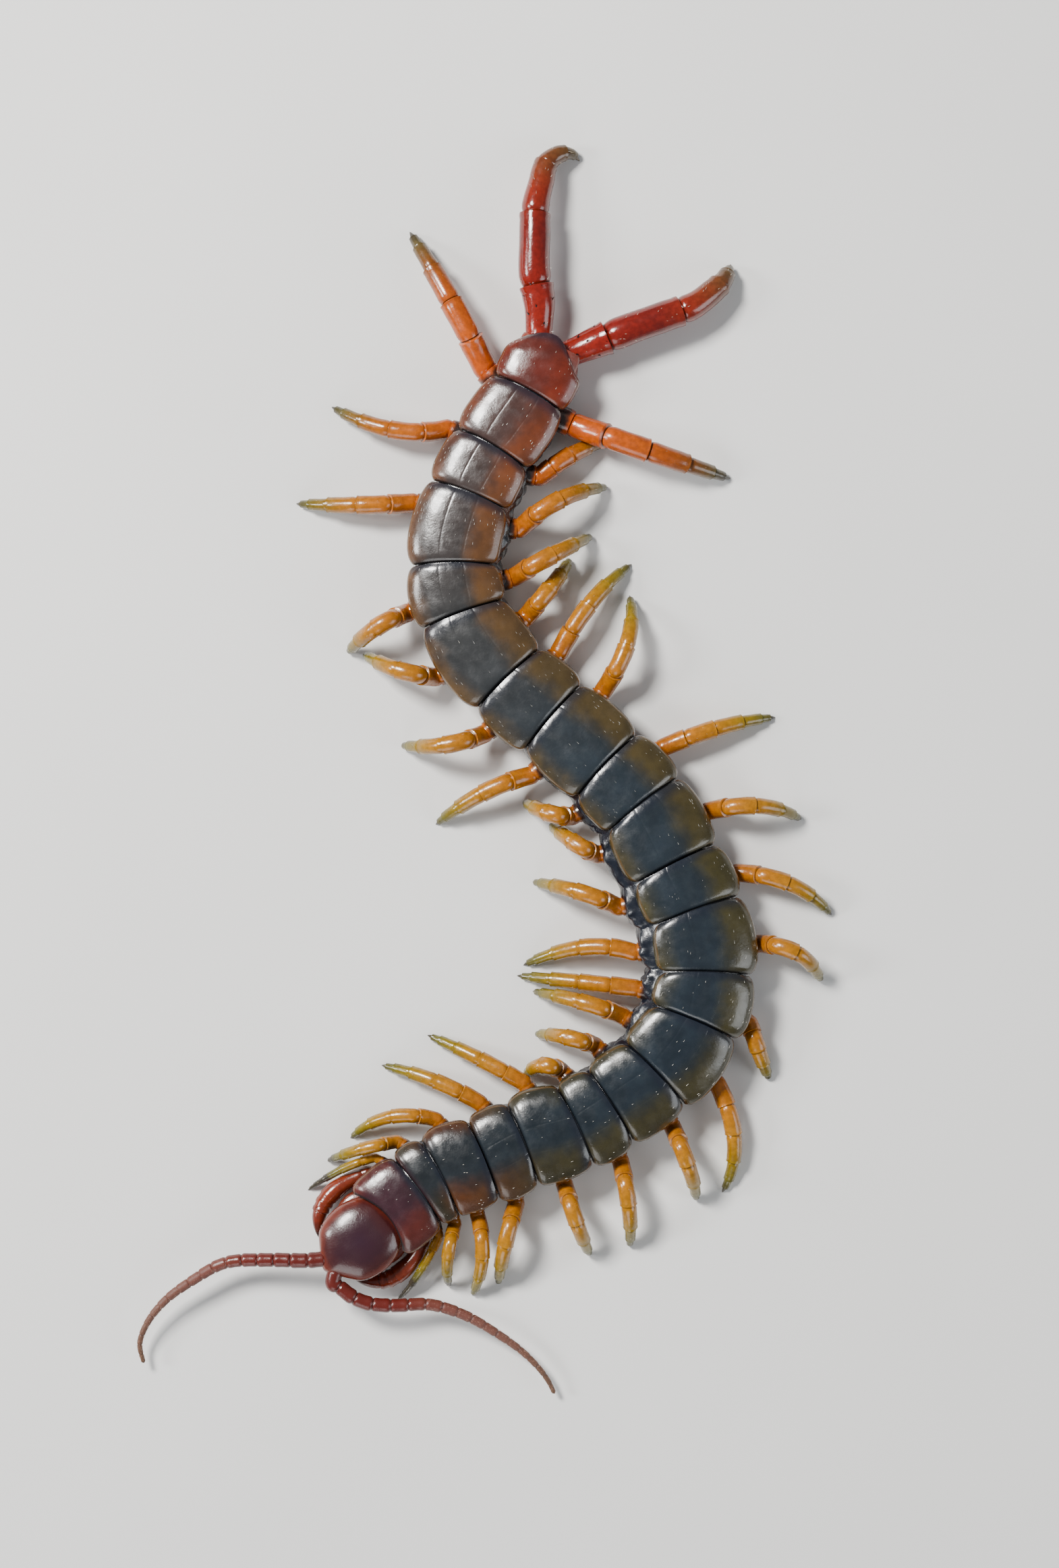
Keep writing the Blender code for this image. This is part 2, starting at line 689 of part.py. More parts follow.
def trunk_paint(first: int) -> Paint:
    if first == 1:
        return HEAD_PAINT
    if first < 8:
        return FRONT_PAINT
    return BACK_PAINT if first < 18 else REAR_PAINT


def build() -> None:
    for thing in list(bpy.data.objects):
        bpy.data.objects.remove(thing)
    solid("head", head_rings(), HEAD_PAINT)
    for first, last in TRUNK_LENGTHS:
        name = f"trunk_{first:02d}" if first == last else f"trunk_{first:02d}_{last:02d}"
        solid(name, trunk_rings(first, last), trunk_paint(first))
    for side, word in ((1, "left"), (-1, "right")):
        solid(f"antenna_{word}", feeler_rings(side), FEELER_PAINT)
        solid(f"poison_claw_{word}", claw_rings(side), HEAD_PAINT)
        for pair in range(1, COUNT):
            solid(f"leg_{word}_{pair:02d}", leg_rings(pair, side), LEG_PAINT)
        solid(f"leg_{word}_{COUNT}", hind_rings(side), HIND_PAINT)


build()
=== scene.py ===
"""A giant centipede at life size, finished as a museum model in a winding pose.

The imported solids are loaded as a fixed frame, and each of them is replaced here by a finished piece
in the same place: 21 back plates over one soft skin, belly plates, a head shield with eyes, two
poison claws, two jointed feelers and 21 pairs of jointed legs. Sizes in the classes are millimetres
in the plan of the pose, and every piece is moved to the model's own origin and to metres as it is
settled.
"""

import json
import logging
import math
import random
from collections.abc import Callable, Sequence
from dataclasses import dataclass, field
from enum import Enum

import bmesh
import bpy
import numpy as np
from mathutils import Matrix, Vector

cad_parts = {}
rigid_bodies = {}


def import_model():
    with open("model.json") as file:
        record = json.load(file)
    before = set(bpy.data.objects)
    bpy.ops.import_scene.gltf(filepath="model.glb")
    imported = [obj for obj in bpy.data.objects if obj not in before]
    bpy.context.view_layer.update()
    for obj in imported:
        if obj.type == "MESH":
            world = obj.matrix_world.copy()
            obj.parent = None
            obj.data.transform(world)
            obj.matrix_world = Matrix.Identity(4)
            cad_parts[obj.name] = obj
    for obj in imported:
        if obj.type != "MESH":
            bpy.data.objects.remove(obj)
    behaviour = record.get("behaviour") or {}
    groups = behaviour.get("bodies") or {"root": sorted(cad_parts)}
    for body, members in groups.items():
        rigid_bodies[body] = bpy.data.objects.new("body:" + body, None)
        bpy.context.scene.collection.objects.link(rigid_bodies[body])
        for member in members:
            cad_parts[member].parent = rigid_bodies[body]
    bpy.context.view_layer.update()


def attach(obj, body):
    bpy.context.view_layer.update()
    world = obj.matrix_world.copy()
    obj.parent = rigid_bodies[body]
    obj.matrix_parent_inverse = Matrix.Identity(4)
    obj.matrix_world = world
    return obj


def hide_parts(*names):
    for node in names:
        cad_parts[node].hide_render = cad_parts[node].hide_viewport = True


for leftover in list(bpy.data.objects):
    bpy.data.objects.remove(leftover)
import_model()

LOG = logging.getLogger("centipede")
MM = 0.001
BODY = "root"
GROUND_MIDDLE = (-4.17, 1.2)
SHARP = math.radians(48.0)
RIM_PLACE = 0.968
MIDDLE_FROM, REAR_FROM = 8, 18

Array = np.ndarray
Placed = tuple[Array, dict[str, Array | float]]
Placer = Callable[[Array, Array], Placed]
Colour = tuple[float, float, float]
Stops = Sequence[tuple[float, Colour]]
Material = bpy.types.Material
Socket = bpy.types.NodeSocket


class Side(Enum):
    """The two sides of the animal, with the sign that each has to the left of the spine."""

    LEFT = 1
    RIGHT = -1


class Slot(Enum):
    """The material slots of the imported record."""

    HEAD = "head_shield"
    CLAW = "claw"
    FEELER = "antenna"
    FRONT = "trunk_front"
    MIDDLE = "trunk_middle"
    REAR = "trunk_rear"
    LEG = "walking_leg"
    HIND = "hind_leg"


def unit(vectors: Array) -> Array:
    """Scales vectors to a length of one.

    Args:
        vectors: One vector, or one a row.

    Returns:
        The vectors at unit length.
    """
    return vectors / np.maximum(np.linalg.norm(vectors, axis=-1, keepdims=True), 1e-12)


def ease(values: Array, low: float, high: float) -> Array:
    """Rises smoothly from 0 to 1 between two values.

    Args:
        values: The values to read.
        low: Where the rise starts.
        high: Where it ends.

    Returns:
        A share from 0 to 1 for each value.
    """
    share = np.clip((np.asarray(values, float) - low) / (high - low), 0.0, 1.0)
    return share * share * (3 - 2 * share)


def hump(values: Array, centre: float, width: float) -> Array:
    """A bell round a centre.

    Args:
        values: The values to read.
        centre: Where the bell is 1.
        width: How far from the centre it has fallen to about a third.

    Returns:
        The bell's height at each value.
    """
    return np.exp(-(((np.asarray(values, float) - centre) / width) ** 2))


def distances(points: Array) -> Array:
    """How far each point of a line is from its start, along the line."""
    return np.concatenate([[0.0], np.cumsum(np.linalg.norm(np.diff(points, axis=0), axis=1))])


class Route:
    """A smooth route through given points, followed by its length in plan."""

    def __init__(self, points: Sequence[Sequence[float]]) -> None:
        """Fits the route.

        Args:
            points: The points in order, with x and y first.
        """
        self.points = np.array(points, float)
        steps = np.linalg.norm(np.diff(self.points[:, :2], axis=0), axis=1)
        self.at = np.concatenate([[0.0], np.cumsum(steps)])
        slopes = np.diff(self.points, axis=0) / steps[:, None]
        before, after = steps[:-1, None], steps[1:, None]
        inner = (slopes[:-1] * after + slopes[1:] * before) / (before + after)
        self.slopes = np.vstack([slopes[:1], inner, slopes[-1:]])

    def point(self, along: Array) -> Array:
        """Points on the route.

        Args:
            along: Distances from its start.

        Returns:
            One point a row.
        """
        along = np.atleast_1d(np.asarray(along, float))
        piece = np.clip(np.searchsorted(self.at, along) - 1, 0, len(self.at) - 2)
        length = (self.at[piece + 1] - self.at[piece])[:, None]
        t = (along - self.at[piece])[:, None] / length
        return (
            (1 + 2 * t) * (1 - t) ** 2 * self.points[piece]
            + t * (1 - t) ** 2 * length * self.slopes[piece]
            + t * t * (3 - 2 * t) * self.points[piece + 1]
            - t * t * (1 - t) * length * self.slopes[piece + 1]
        )

    def heading(self, along: Array) -> Array:
        """Unit directions along the route.

        Args:
            along: Places on the line, as distances from its start.

        Returns:
            One direction a row.
        """
        step = 0.02
        along = np.atleast_1d(np.asarray(along, float))
        return unit(self.point(along + step) - self.point(along - step))


@dataclass(frozen=True)
class Ripple:
    """A repeatable uneven field in space, from a few crossing waves."""

    seed: int
    wavelength: float
    waves: int = 10

    def at(self, points: Array) -> Array:
        """Reads the field.

        Args:
            points: One point a row, in millimetres.

        Returns:
            Values from about -1 to 1.
        """
        draw = random.Random(self.seed)
        total = np.zeros(len(points))
        for _ in range(self.waves):
            way = unit(np.array([draw.gauss(0, 1) for _ in range(3)]))
            number = 2 * math.pi / (self.wavelength * draw.uniform(0.7, 1.5))
            total += np.sin(points @ way * number + draw.uniform(0, 2 * math.pi))
        return total / math.sqrt(self.waves * 2)


class Forge:
    """One piece while it is shaped: a bmesh whose vertices carry named values for its finish."""

    def __init__(self, *tags: str) -> None:
        """Starts an empty piece.

        Args:
            *tags: The names of the values that its vertices carry.
        """
        self.mesh = bmesh.new()
        self.layers = {tag: self.mesh.verts.layers.float.new(tag) for tag in tags}

    def _shape(self, fresh: Sequence[bmesh.types.BMVert], read: Callable[[Array], Placed]) -> None:
        """Moves new vertices to their places.

        Args:
            fresh: The new vertices.
            read: Turns their plain coordinates into places and tags.
        """
        points, tags = read(np.array([vert.co[:] for vert in fresh]))
        points = (points - np.array([*GROUND_MIDDLE, 0.0])) * MM
        points[:, 2] = np.maximum(points[:, 2], 0.0)
        for vert, point in zip(fresh, points):
            vert.co = point
        for tag, values in tags.items():
            for vert, value in zip(fresh, np.broadcast_to(values, len(fresh))):
                vert[self.layers[tag]] = value

    def _island(self, first: bmesh.types.BMVert) -> list:
        """Collects the vertices that hang together with one of them.

        Args:
            first: Any of the vertices.

        Returns:
            All of them.
        """
        found, waiting = {first}, [first]
        while waiting:
            for edge in waiting.pop().link_edges:
                for vert in edge.verts:
                    if vert not in found:
                        found.add(vert)
                        waiting.append(vert)
        return list(found)

    def tube(self, sides: int, rings: int, place: Placer) -> None:
        """Adds a closed tube, from an upright cylinder cut into rings.

        Args:
            sides: How many sides it has.
            rings: How many lengths it is cut into.
            place: Takes each vertex's turn round the tube and its share of the length.
        """
        made = bmesh.ops.create_cone(
            self.mesh, cap_ends=True, cap_tris=False, segments=sides, radius1=1.0, radius2=1.0, depth=2.0
        )
        upright = {
            edge
            for vert in made["verts"]
            for edge in vert.link_edges
            if abs(edge.verts[0].co.z - edge.verts[1].co.z) > 1.0
        }
        cut = bmesh.ops.subdivide_edges(self.mesh, edges=list(upright), cuts=rings - 1)
        first = next(part for part in cut["geom_inner"] if isinstance(part, bmesh.types.BMVert))
        self._shape(
            self._island(first), lambda flat: place(np.arctan2(flat[:, 1], flat[:, 0]), (flat[:, 2] + 1) / 2)
        )

    def sheet(self, columns: int, rows: int, place: Placer, depth: float) -> None:
        """Adds a sheet from a grid, then gives it a thickness below its face.

        Args:
            columns: How many columns of faces it has.
            rows: How many rows of faces it has.
            place: Takes each vertex's share across and along, both from 0 to 1.
            depth: The sheet's thickness in millimetres.
        """
        made = bmesh.ops.create_grid(self.mesh, x_segments=columns, y_segments=rows, size=1.0)
        self._shape(made["verts"], lambda flat: place((flat[:, 0] + 1) / 2, (flat[:, 1] + 1) / 2))
        faces = list({face for vert in made["verts"] for face in vert.link_faces})
        self.mesh.normal_update()
        if sum(face.normal.z for face in faces) < 0:
            bmesh.ops.reverse_faces(self.mesh, faces=faces)
        bmesh.ops.solidify(self.mesh, geom=faces, thickness=depth * MM)

    def ball(self, fineness: int, centre: Array, axes: Array, **tags: float) -> None:
        """Adds a stretched ball.

        Args:
            fineness: How often its faces are divided.
            centre: Its middle, in millimetres.
            axes: Its three half axes as rows.
            **tags: The values that its vertices carry.
        """
        made = bmesh.ops.create_icosphere(self.mesh, subdivisions=fineness, radius=1.0)
        self._shape(made["verts"], lambda flat: (centre + flat @ axes, tags))

    def spine(self, base: Array, tip: Array, radius: float, sides: int = 3, **tags: float) -> None:
        """Adds a fine pointed hair or spine.

        Args:
            base: Where it stands, in millimetres.
            tip: Where it ends.
            radius: Its radius at the base.
            sides: How many sides it has.
            **tags: The values that its vertices carry.
        """
        way = unit(tip - base)
        across = unit(np.cross(way, np.array([0.13, 0.31, 0.94])))
        raised = np.cross(way, across)

        def place(turn: Array, share: Array) -> Placed:
            """Places the hair's rings.

            Args:
                turn: Turns round it.
                share: Shares of its length.

            Returns:
                The places and the tags.
            """
            wide = radius * (1 - 0.9 * share)
            round_it = np.cos(turn)[:, None] * across + np.sin(turn)[:, None] * raised
            return base + share[:, None] * (tip - base) + wide[:, None] * round_it, tags

        self.tube(sides, 2, place)

    def _face_outward(self) -> None:
        """Turns the faces of each closed part outward, by the sign of the volume that they hold."""
        bmesh.ops.recalc_face_normals(self.mesh, faces=self.mesh.faces)
        waiting = set(self.mesh.verts)
        while waiting:
            part = self._island(next(iter(waiting)))
            waiting.difference_update(part)
            faces = list({face for vert in part for face in vert.link_faces})
            corner = part[0].co
            held = sum(f.calc_area() * f.normal.dot(f.calc_center_median() - corner) for f in faces)
            if held < 0:
                bmesh.ops.reverse_faces(self.mesh, faces=faces)

    def settle(self, name: str, finish: Material, nodes: Sequence[str] = ()) -> None:
        """Turns the shape into an object of the model.

        Args:
            name: The object's name.
            finish: Its material.
            nodes: The solids that it replaces.
        """
        self._face_outward()
        data = bpy.data.meshes.new(name)
        self.mesh.to_mesh(data)
        self.mesh.free()
        data.shade_smooth()
        data.set_sharp_from_angle(angle=SHARP)
        data.materials.append(finish)
        thing = bpy.data.objects.new(name, data)
        bpy.context.scene.collection.objects.link(thing)
        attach(thing, BODY)
        if nodes:
            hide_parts(*nodes)
        LOG.info("%s: %d faces, stands for %s", name, len(data.polygons), ", ".join(nodes) or "no solid")


@dataclass(frozen=True)
class Segment:
    """One plated segment: where its rear border crosses the spine, and its plate's full width."""

    rear_x: float
    rear_y: float
    width: float


@dataclass(frozen=True)
class Lean:
    """A stretch of the trunk that rolls to the left by an angle, and swells on one flank."""

    segment: float
    reach: float
    roll: float
    left_swell: float
    right_swell: float


SEGMENTS = (
    Segment(-10.5, -38.5, 8.8), Segment(-8.4, -37.1, 8.5), Segment(-4.1, -35.8, 8.9),
    Segment(-0.5, -34.0, 9.1), Segment(4.6, -32.5, 9.3), Segment(7.9, -30.5, 9.1),
    Segment(12.2, -27.5, 9.2), Segment(15.9, -22.5, 9.6), Segment(17.0, -17.8, 9.7),
    Segment(15.9, -11.8, 9.9), Segment(13.8, -7.4, 9.8), Segment(10.8, -1.7, 9.7), Segment(7.2, 1.9, 9.5),
    Segment(2.1, 6.5, 9.4), Segment(-2.2, 10.1, 9.4), Segment(-6.5, 16.3, 9.3), Segment(-7.4, 21.0, 9.1),
    Segment(-5.8, 27.7, 8.9), Segment(-3.5, 32.1, 8.5), Segment(0.0, 37.3, 8.5), Segment(2.5, 42.7, 7.9),
)
COUNT = len(SEGMENTS)
TRUNK_NODES = (
    "trunk_01", "trunk_02_03", "trunk_04_05", "trunk_06_07", "trunk_08_09", "trunk_10_11", "trunk_12_13",
    "trunk_14_15", "trunk_16_17", "trunk_18_19", "trunk_20", "trunk_21",
)


def zone(segment: int) -> Slot:
    """The slot of the trunk's third that a segment is in."""
    return Slot.FRONT if segment < MIDDLE_FROM else Slot.MIDDLE if segment < REAR_FROM else Slot.REAR


@dataclass
class Trunk:
    """The trunk's pose and its cross-section, which place every plate and leg."""

    head_centre: tuple[float, float] = (-16.1, -43.3)
    front: tuple[float, float] = (-13.3, -40.8)
    reference_width: float = 9.5
    back_height: float = 5.9
    edge_height: float = 4.25
    edge_fall: float = 1.6
    flank_share: float = 0.82
    pivot: float = 5.0
    least_stature: float = 0.35
    leans: tuple[Lean, ...] = (
        Lean(9.8, 3.2, math.radians(9.0), 0.0, 0.24),
        Lean(17.6, 2.0, math.radians(-5.0), 0.14, 0.0),
    )
    route: Route = field(init=False)

    def __post_init__(self) -> None:
        """Fits the spine through the segments' borders."""
        borders = [(segment.rear_x, segment.rear_y) for segment in SEGMENTS]
        self.route = Route([self.head_centre, self.front, *borders])
        self.borders: Array = self.route.at[1:]
        self.middles: Array = (self.borders[:-1] + self.borders[1:]) / 2
        self.widths: Array = np.array([segment.width for segment in SEGMENTS])

    def station(self, along: Array) -> Array:
        """The place along the trunk counted in segments, so that 3.5 is the middle of the fourth."""
        return np.interp(along, self.borders, np.arange(COUNT + 1.0))

    def width(self, along: Array) -> Array:
        """The plates' full width at places on the spine, smoothed from segment to segment."""
        return np.interp(along, self.middles, self.widths)

    def section(self, along: Array) -> tuple[Array, Array]:
        """How high the trunk is at places on the spine.

        Args:
            along: The places.

        Returns:
            The back's height over the plates' side edges, and the height of those edges.
        """
        stature = self.least_stature + (1 - self.least_stature) * self.width(along) / self.reference_width
        edge = self.edge_height - (1 - stature) * self.edge_fall
        return (self.back_height - self.edge_height) * stature, edge

    def lean(self, along: Array) -> tuple[Array, Array, Array]:
        """How the trunk leans.

        Args:
            along: Places on the spine.

        Returns:
            Its roll, and the swell of its left and of its right flank.
        """
        index = np.interp(along, self.route.at, np.arange(len(self.route.at)) - 1.0)
        weights = [np.exp(-(((index - lean.segment) / lean.reach) ** 2)) for lean in self.leans]
        roll = sum(w * lean.roll for w, lean in zip(weights, self.leans))
        left = sum(w * lean.left_swell for w, lean in zip(weights, self.leans))
        right = sum(w * lean.right_swell for w, lean in zip(weights, self.leans))
        return roll, left, right

    def axes(self, along: Array) -> tuple[Array, Array, Array]:
        """The trunk's own directions.

        Args:
            along: Places on the spine.

        Returns:
            Backwards, to its left and up, one direction a row.
        """
        along = np.atleast_1d(np.asarray(along, float))
        heading = self.route.heading(along)
        back = np.column_stack([heading, np.zeros(len(along))])
        level = np.column_stack([back[:, 1], -back[:, 0], np.zeros(len(along))])
        roll = np.atleast_1d(self.lean(along)[0])[:, None]
        up = np.array([[0.0, 0.0, 1.0]])
        return back, np.cos(roll) * level - np.sin(roll) * up, np.cos(roll) * up + np.sin(roll) * level

    def world(self, along: Array, left: Array, height: Array, back: Array | float = 0.0) -> Array:
        """Points in the plan of the pose.

        Args:
            along: Places on the spine.
            left: How far to the left of it.
            height: How high.
            back: How much further back.

        Returns:
            One point a row.
        """
        along = np.atleast_1d(np.asarray(along, float))
        behind, side, up = self.axes(along)
        middle = np.column_stack([self.route.point(along), np.full(len(along), self.pivot)])
        lift = np.broadcast_to(np.asarray(height, float) - self.pivot, along.shape)[:, None]
        aside = np.broadcast_to(np.asarray(left, float), along.shape)[:, None]
        shift = np.broadcast_to(np.asarray(back, float), along.shape)[:, None]
        return middle + aside * side + lift * up + shift * behind

    def flank(self, along: Array, side: Array | float) -> Array:
        """How far the flank stands from the middle.

        Args:
            along: Places on the spine.
            side: 1 for the left and -1 for the right.

        Returns:
            A distance for each place.
        """
        _, left, right = self.lean(along)
        return self.width(along) / 2 * (self.flank_share + np.where(np.asarray(side) > 0, left, right))


@dataclass(frozen=True)
class Outline:
    """How a plate narrows towards its ends, and how its back end turns in two oblique faces."""

    front_narrowing: float = 0.115
    front_reach: float = 0.3
    rear_narrowing: float = 0.12
    rear_start: float = 0.45
    rear_power: float = 2.2
    corner: float = 0.06
    corner_reach: float = 0.035
    softness: float = 0.7
    turn_left: float = 0.0
    turn_right: float = 0.0

    def half(self, share: Array) -> Array:
        """How wide a plate is along its length.

        Args:
            share: Shares of the plate's length.

        Returns:
            The half width as a share of the widest.
        """
        front = self.front_narrowing * np.clip(1 - share / self.front_reach, 0, 1) ** 2.2
        rear = np.clip((share - self.rear_start) / (1 - self.rear_start), 0, 1) ** self.rear_power
        corners = np.exp(-share / self.corner_reach) + np.exp(-(1 - share) / self.corner_reach)
        return 1 - front - self.rear_narrowing * rear - self.corner * corners

    def shift(self, share: Array, left: Array) -> Array:
        """How far a point moves along the spine, where the plate's end is oblique.

        Args:
            share: The point's share of the plate's length.
            left: How far to the left it is.

        Returns:
            A distance for each point, backwards.
        """
        turned = np.interp(share, [0.14, 0.45, 0.72, 0.9, 1.0], [0.0, 0.15, 0.5, 0.85, 1.0])
        slope = np.where(left > 0, math.tan(self.turn_left), math.tan(self.turn_right))
        return -turned * slope * (np.hypot(left, self.softness) - self.softness)


TAIL_OUTLINE = Outline(
    rear_narrowing=0.4,
    rear_start=0.45,
    rear_power=2.5,
    corner=0.04,
    softness=1.2,
    turn_left=math.radians(42.0),
    turn_right=math.radians(24.0),
)


@dataclass
class BackPlates:
    """The 21 horny plates of the back, each a thin domed shell with a raised rim."""

    trunk: Trunk
    thickness: float = 0.2
    front_drop: float = 0.4
    front_roll: float = 0.26
    rear_drop: float = 0.16
    rear_roll: float = 0.34
    edge_drop: float = 0.3
    tail_drop: float = 0.5
    joint: float = 0.05
    first_reach: float = 0.3
    last_gap: float = 0.1
    sweep: float = 0.22
    collar: float = 1.15
    dome_power: float = 2.3
    dome_root: float = 2.2
    rim_height: float = 0.055
    groove_depth: float = 0.02
    groove_place: float = 0.27
    unevenness: float = 0.022
    columns: tuple[float, ...] = (
        0.0, 0.06, 0.12, 0.18, 0.235, 0.255, 0.27, 0.285, 0.305, 0.36, 0.43, 0.5, 0.57, 0.64, 0.70, 0.76,
        0.81, 0.855, 0.895, 0.925, 0.948, 0.963, 0.976, 0.989, 1.0,
    )
    rows: tuple[float, ...] = (
        0.0, 0.006, 0.016, 0.03, 0.05, 0.075, 0.11, 0.16, 0.22, 0.3, 0.38, 0.46, 0.54, 0.62, 0.7, 0.77,
        0.83, 0.88, 0.92, 0.95, 0.972, 0.988, 1.0,
    )

    def outline(self, index: int) -> Outline:
        """The outline of a plate, counted from 1."""
        return TAIL_OUTLINE if index == COUNT else Outline()

    def fall(self, across: Array) -> Array:
        """How far the dome has fallen at a share of the half width, as a share of its height."""
        return 1 - (1 - np.clip(np.abs(across), 0, 1) ** self.dome_power) ** (1 / self.dome_root)

    def surface(self, index: int, across: Array, share: Array, lift: Array | float = 0.0) -> Array:
        """Points on a plate's outer face.

        Args:
            index: The plate, counted from 1.
            across: From -1 at its right margin to 1 at its left.
            share: From 0 at its front margin to 1 at its rear.
            lift: How far above the face.

        Returns:
            One point a row.
        """
        trunk = self.trunk
        front, rear = trunk.borders[index - 1] + self.joint, trunk.borders[index] - self.joint
        if index == 1:
            front -= self.first_reach
        if index == COUNT:
            rear = trunk.borders[index] - self.last_gap
        length = rear - front
        along = front + length * share
        half = SEGMENTS[index - 1].width / 2 * self.outline(index).half(share)
        drop = self.front_drop * np.exp(-((share * length / self.front_roll) ** 1.3))
        drop = drop + self.rear_drop * np.exp(-(((1 - share) * length / self.rear_roll) ** 1.3))
        if index == COUNT:
            drop = drop + self.tail_drop * ease(share, 0.55, 1.0)
        height, edge = trunk.section(along)
        edge = edge - self.edge_drop * drop
        level = edge + (height - (1 - self.edge_drop) * drop) * (1 - self.fall(across))
        far = np.abs(across)
        level = level + self.rim_height * hump(far, RIM_PLACE, 0.02)
        groove = self.groove_depth * hump(far, self.groove_place + 0.03 * (share - 0.5), 0.012)
        level = level - groove * ease(share, 0.05, 0.15) * (1 if 3 < index < COUNT else 0)
        left = across * half * (1 + 0.012 * hump(far, 1.0, 0.03))
        front_sweep = self.collar if index == 1 else self.sweep
        ends = front_sweep * np.exp(-((share / 0.3) ** 2)) + self.sweep * np.exp(-(((1 - share) / 0.3) ** 2))
        ends = ends * across**2
        back = -ends + self.outline(index).shift(share, left)
        flat = trunk.world(along, left, level, back)
        wave = Ripple(index, 2.1).at(flat) + 0.5 * Ripple(index + 40, 0.9).at(flat)
        quiet = (1 - far**6) * ease(share, 0.0, 0.12) * ease(1 - share, 0.0, 0.1)
        up = trunk.axes(along)[2]
        return flat + (self.unevenness * wave * quiet + lift)[:, None] * up

    def build(self, finish: Material) -> None:
        """Builds the 21 plates as separate pieces.

        Args:
            finish: The plates' material.
        """
        half = np.array(self.columns)
        columns = np.concatenate([-half[:0:-1], half])
        rows = np.array(self.rows)
        for index in range(1, COUNT + 1):
            forge = Forge("station", "across", "share")

            def place(x: Array, y: Array, index: int = index) -> Placed:
                """Places the plate's grid.

                Args:
                    x: Shares across it, from 0 to 1.
                    y: Shares along it, from 0 to 1.
                    index: The plate, counted from 1.

                Returns:
                    The places and the tags.
                """
                across = np.interp(x, np.linspace(0, 1, len(columns)), columns)
                share = np.interp(y, np.linspace(0, 1, len(rows)), rows)
                tags = {"station": index - 1 + share, "across": across, "share": share}
                return self.surface(index, across, share), tags

            forge.sheet(len(columns) - 1, len(rows) - 1, place, self.thickness)
            forge.settle(f"back_plate_{index:02d}", finish)


@dataclass
class Flanks:
    """The soft skin of flanks and belly under the plates, in one piece with its folds."""

    trunk: Trunk
    plates: BackPlates
    sides: int = 84
    rings_per_segment: int = 16
    front_gap: float = 0.1
    rear_gap: float = 0.9
    middle_height: float = 2.95
    belly_height: float = 1.02
    under_plate: float = 0.15
    neck: float = 0.3
    mound: float = 0.3
    fold: float = 0.04
    lump: float = 0.28
    bulges: tuple[tuple[float, float, float, float], ...] = ((10.0, 3.4, -1.0, 0.6), (17.6, 1.6, 1.0, 0.3))

    def build(self, finish: Material) -> None:
        """Builds the skin in the trunk's place.

        Args:
            finish: The skin's material.
        """
        trunk = self.trunk
        start, end = trunk.borders[0] + self.front_gap, trunk.borders[-1] - self.rear_gap

        def place(turn: Array, share: Array) -> Placed:
            """Places the skin's rings.

            Args:
                turn: Turns round it.
                share: Shares of its length.

            Returns:
                The places and the tags.
            """
            along = start + (end - start) * share
            station = trunk.station(along)
            phase = station - np.floor(np.minimum(station, COUNT - 1e-6))
            side = np.where(np.cos(turn) >= 0, 1.0, -1.0)
            near_joint = 1 - np.sin(math.pi * phase) ** 0.6
            wide = trunk.flank(along, side) + 0.12 + self.mound * hump(phase, 0.5, 0.3)
            for middle, reach, flank, size in self.bulges:
                wide = wide + size * hump(station, middle, reach) * (side == flank)
            wide = wide - self.neck * near_joint - 0.35 * ease(share, 0.93, 1.0) * np.abs(wide) * 0.4
            left = wide * np.sign(np.cos(turn)) * np.abs(np.cos(turn)) ** 0.72
            across = np.clip(left / (trunk.width(along) / 2), -1, 1)
            height, edge = trunk.section(along)
            roof = edge + height * (1 - self.plates.fall(across * 0.985)) - self.under_plate
            roof = roof - 0.42 * near_joint**2 - 0.5 * ease(share, 0.96, 1.0)
            steep = np.abs(np.sin(turn))
            upper = self.middle_height + (roof - self.middle_height) * steep**0.7
            lower = self.middle_height - (self.middle_height - self.belly_height) * steep**0.55
            level = np.where(np.sin(turn) >= 0, upper, lower)
            flat = trunk.world(along, left, level)
            outward = trunk.world(along, left + side, level + 0.3 * np.sin(turn)) - flat
            flanking = np.abs(np.cos(turn)) ** 0.6 * ease(level, 0.9, 1.6)
            folds = 0.6 * Ripple(91, 1.5).at(flat) + 0.6 * Ripple(92, 0.62).at(flat)
            rows = np.abs(np.sin(level * 3.1 + 0.6 * np.sin(phase * 6.0))) ** 0.6
            lumps = np.abs(np.sin(math.pi * 3 * phase + 0.8 * np.sin(level * 2.0))) ** 0.6
            relief = self.fold * folds + self.lump * (rows * lumps - 0.45)
            relief = relief * (1 - ease(level, edge - 0.3, edge + 0.05))
            flat = flat + (relief * flanking)[:, None] * outward
            tags = {"station": station, "phase": phase, "level": level}
            return flat, tags

        forge = Forge("station", "phase", "level")
        forge.tube(self.sides, self.rings_per_segment * COUNT, place)
        forge.settle("soft_skin", finish, TRUNK_NODES)


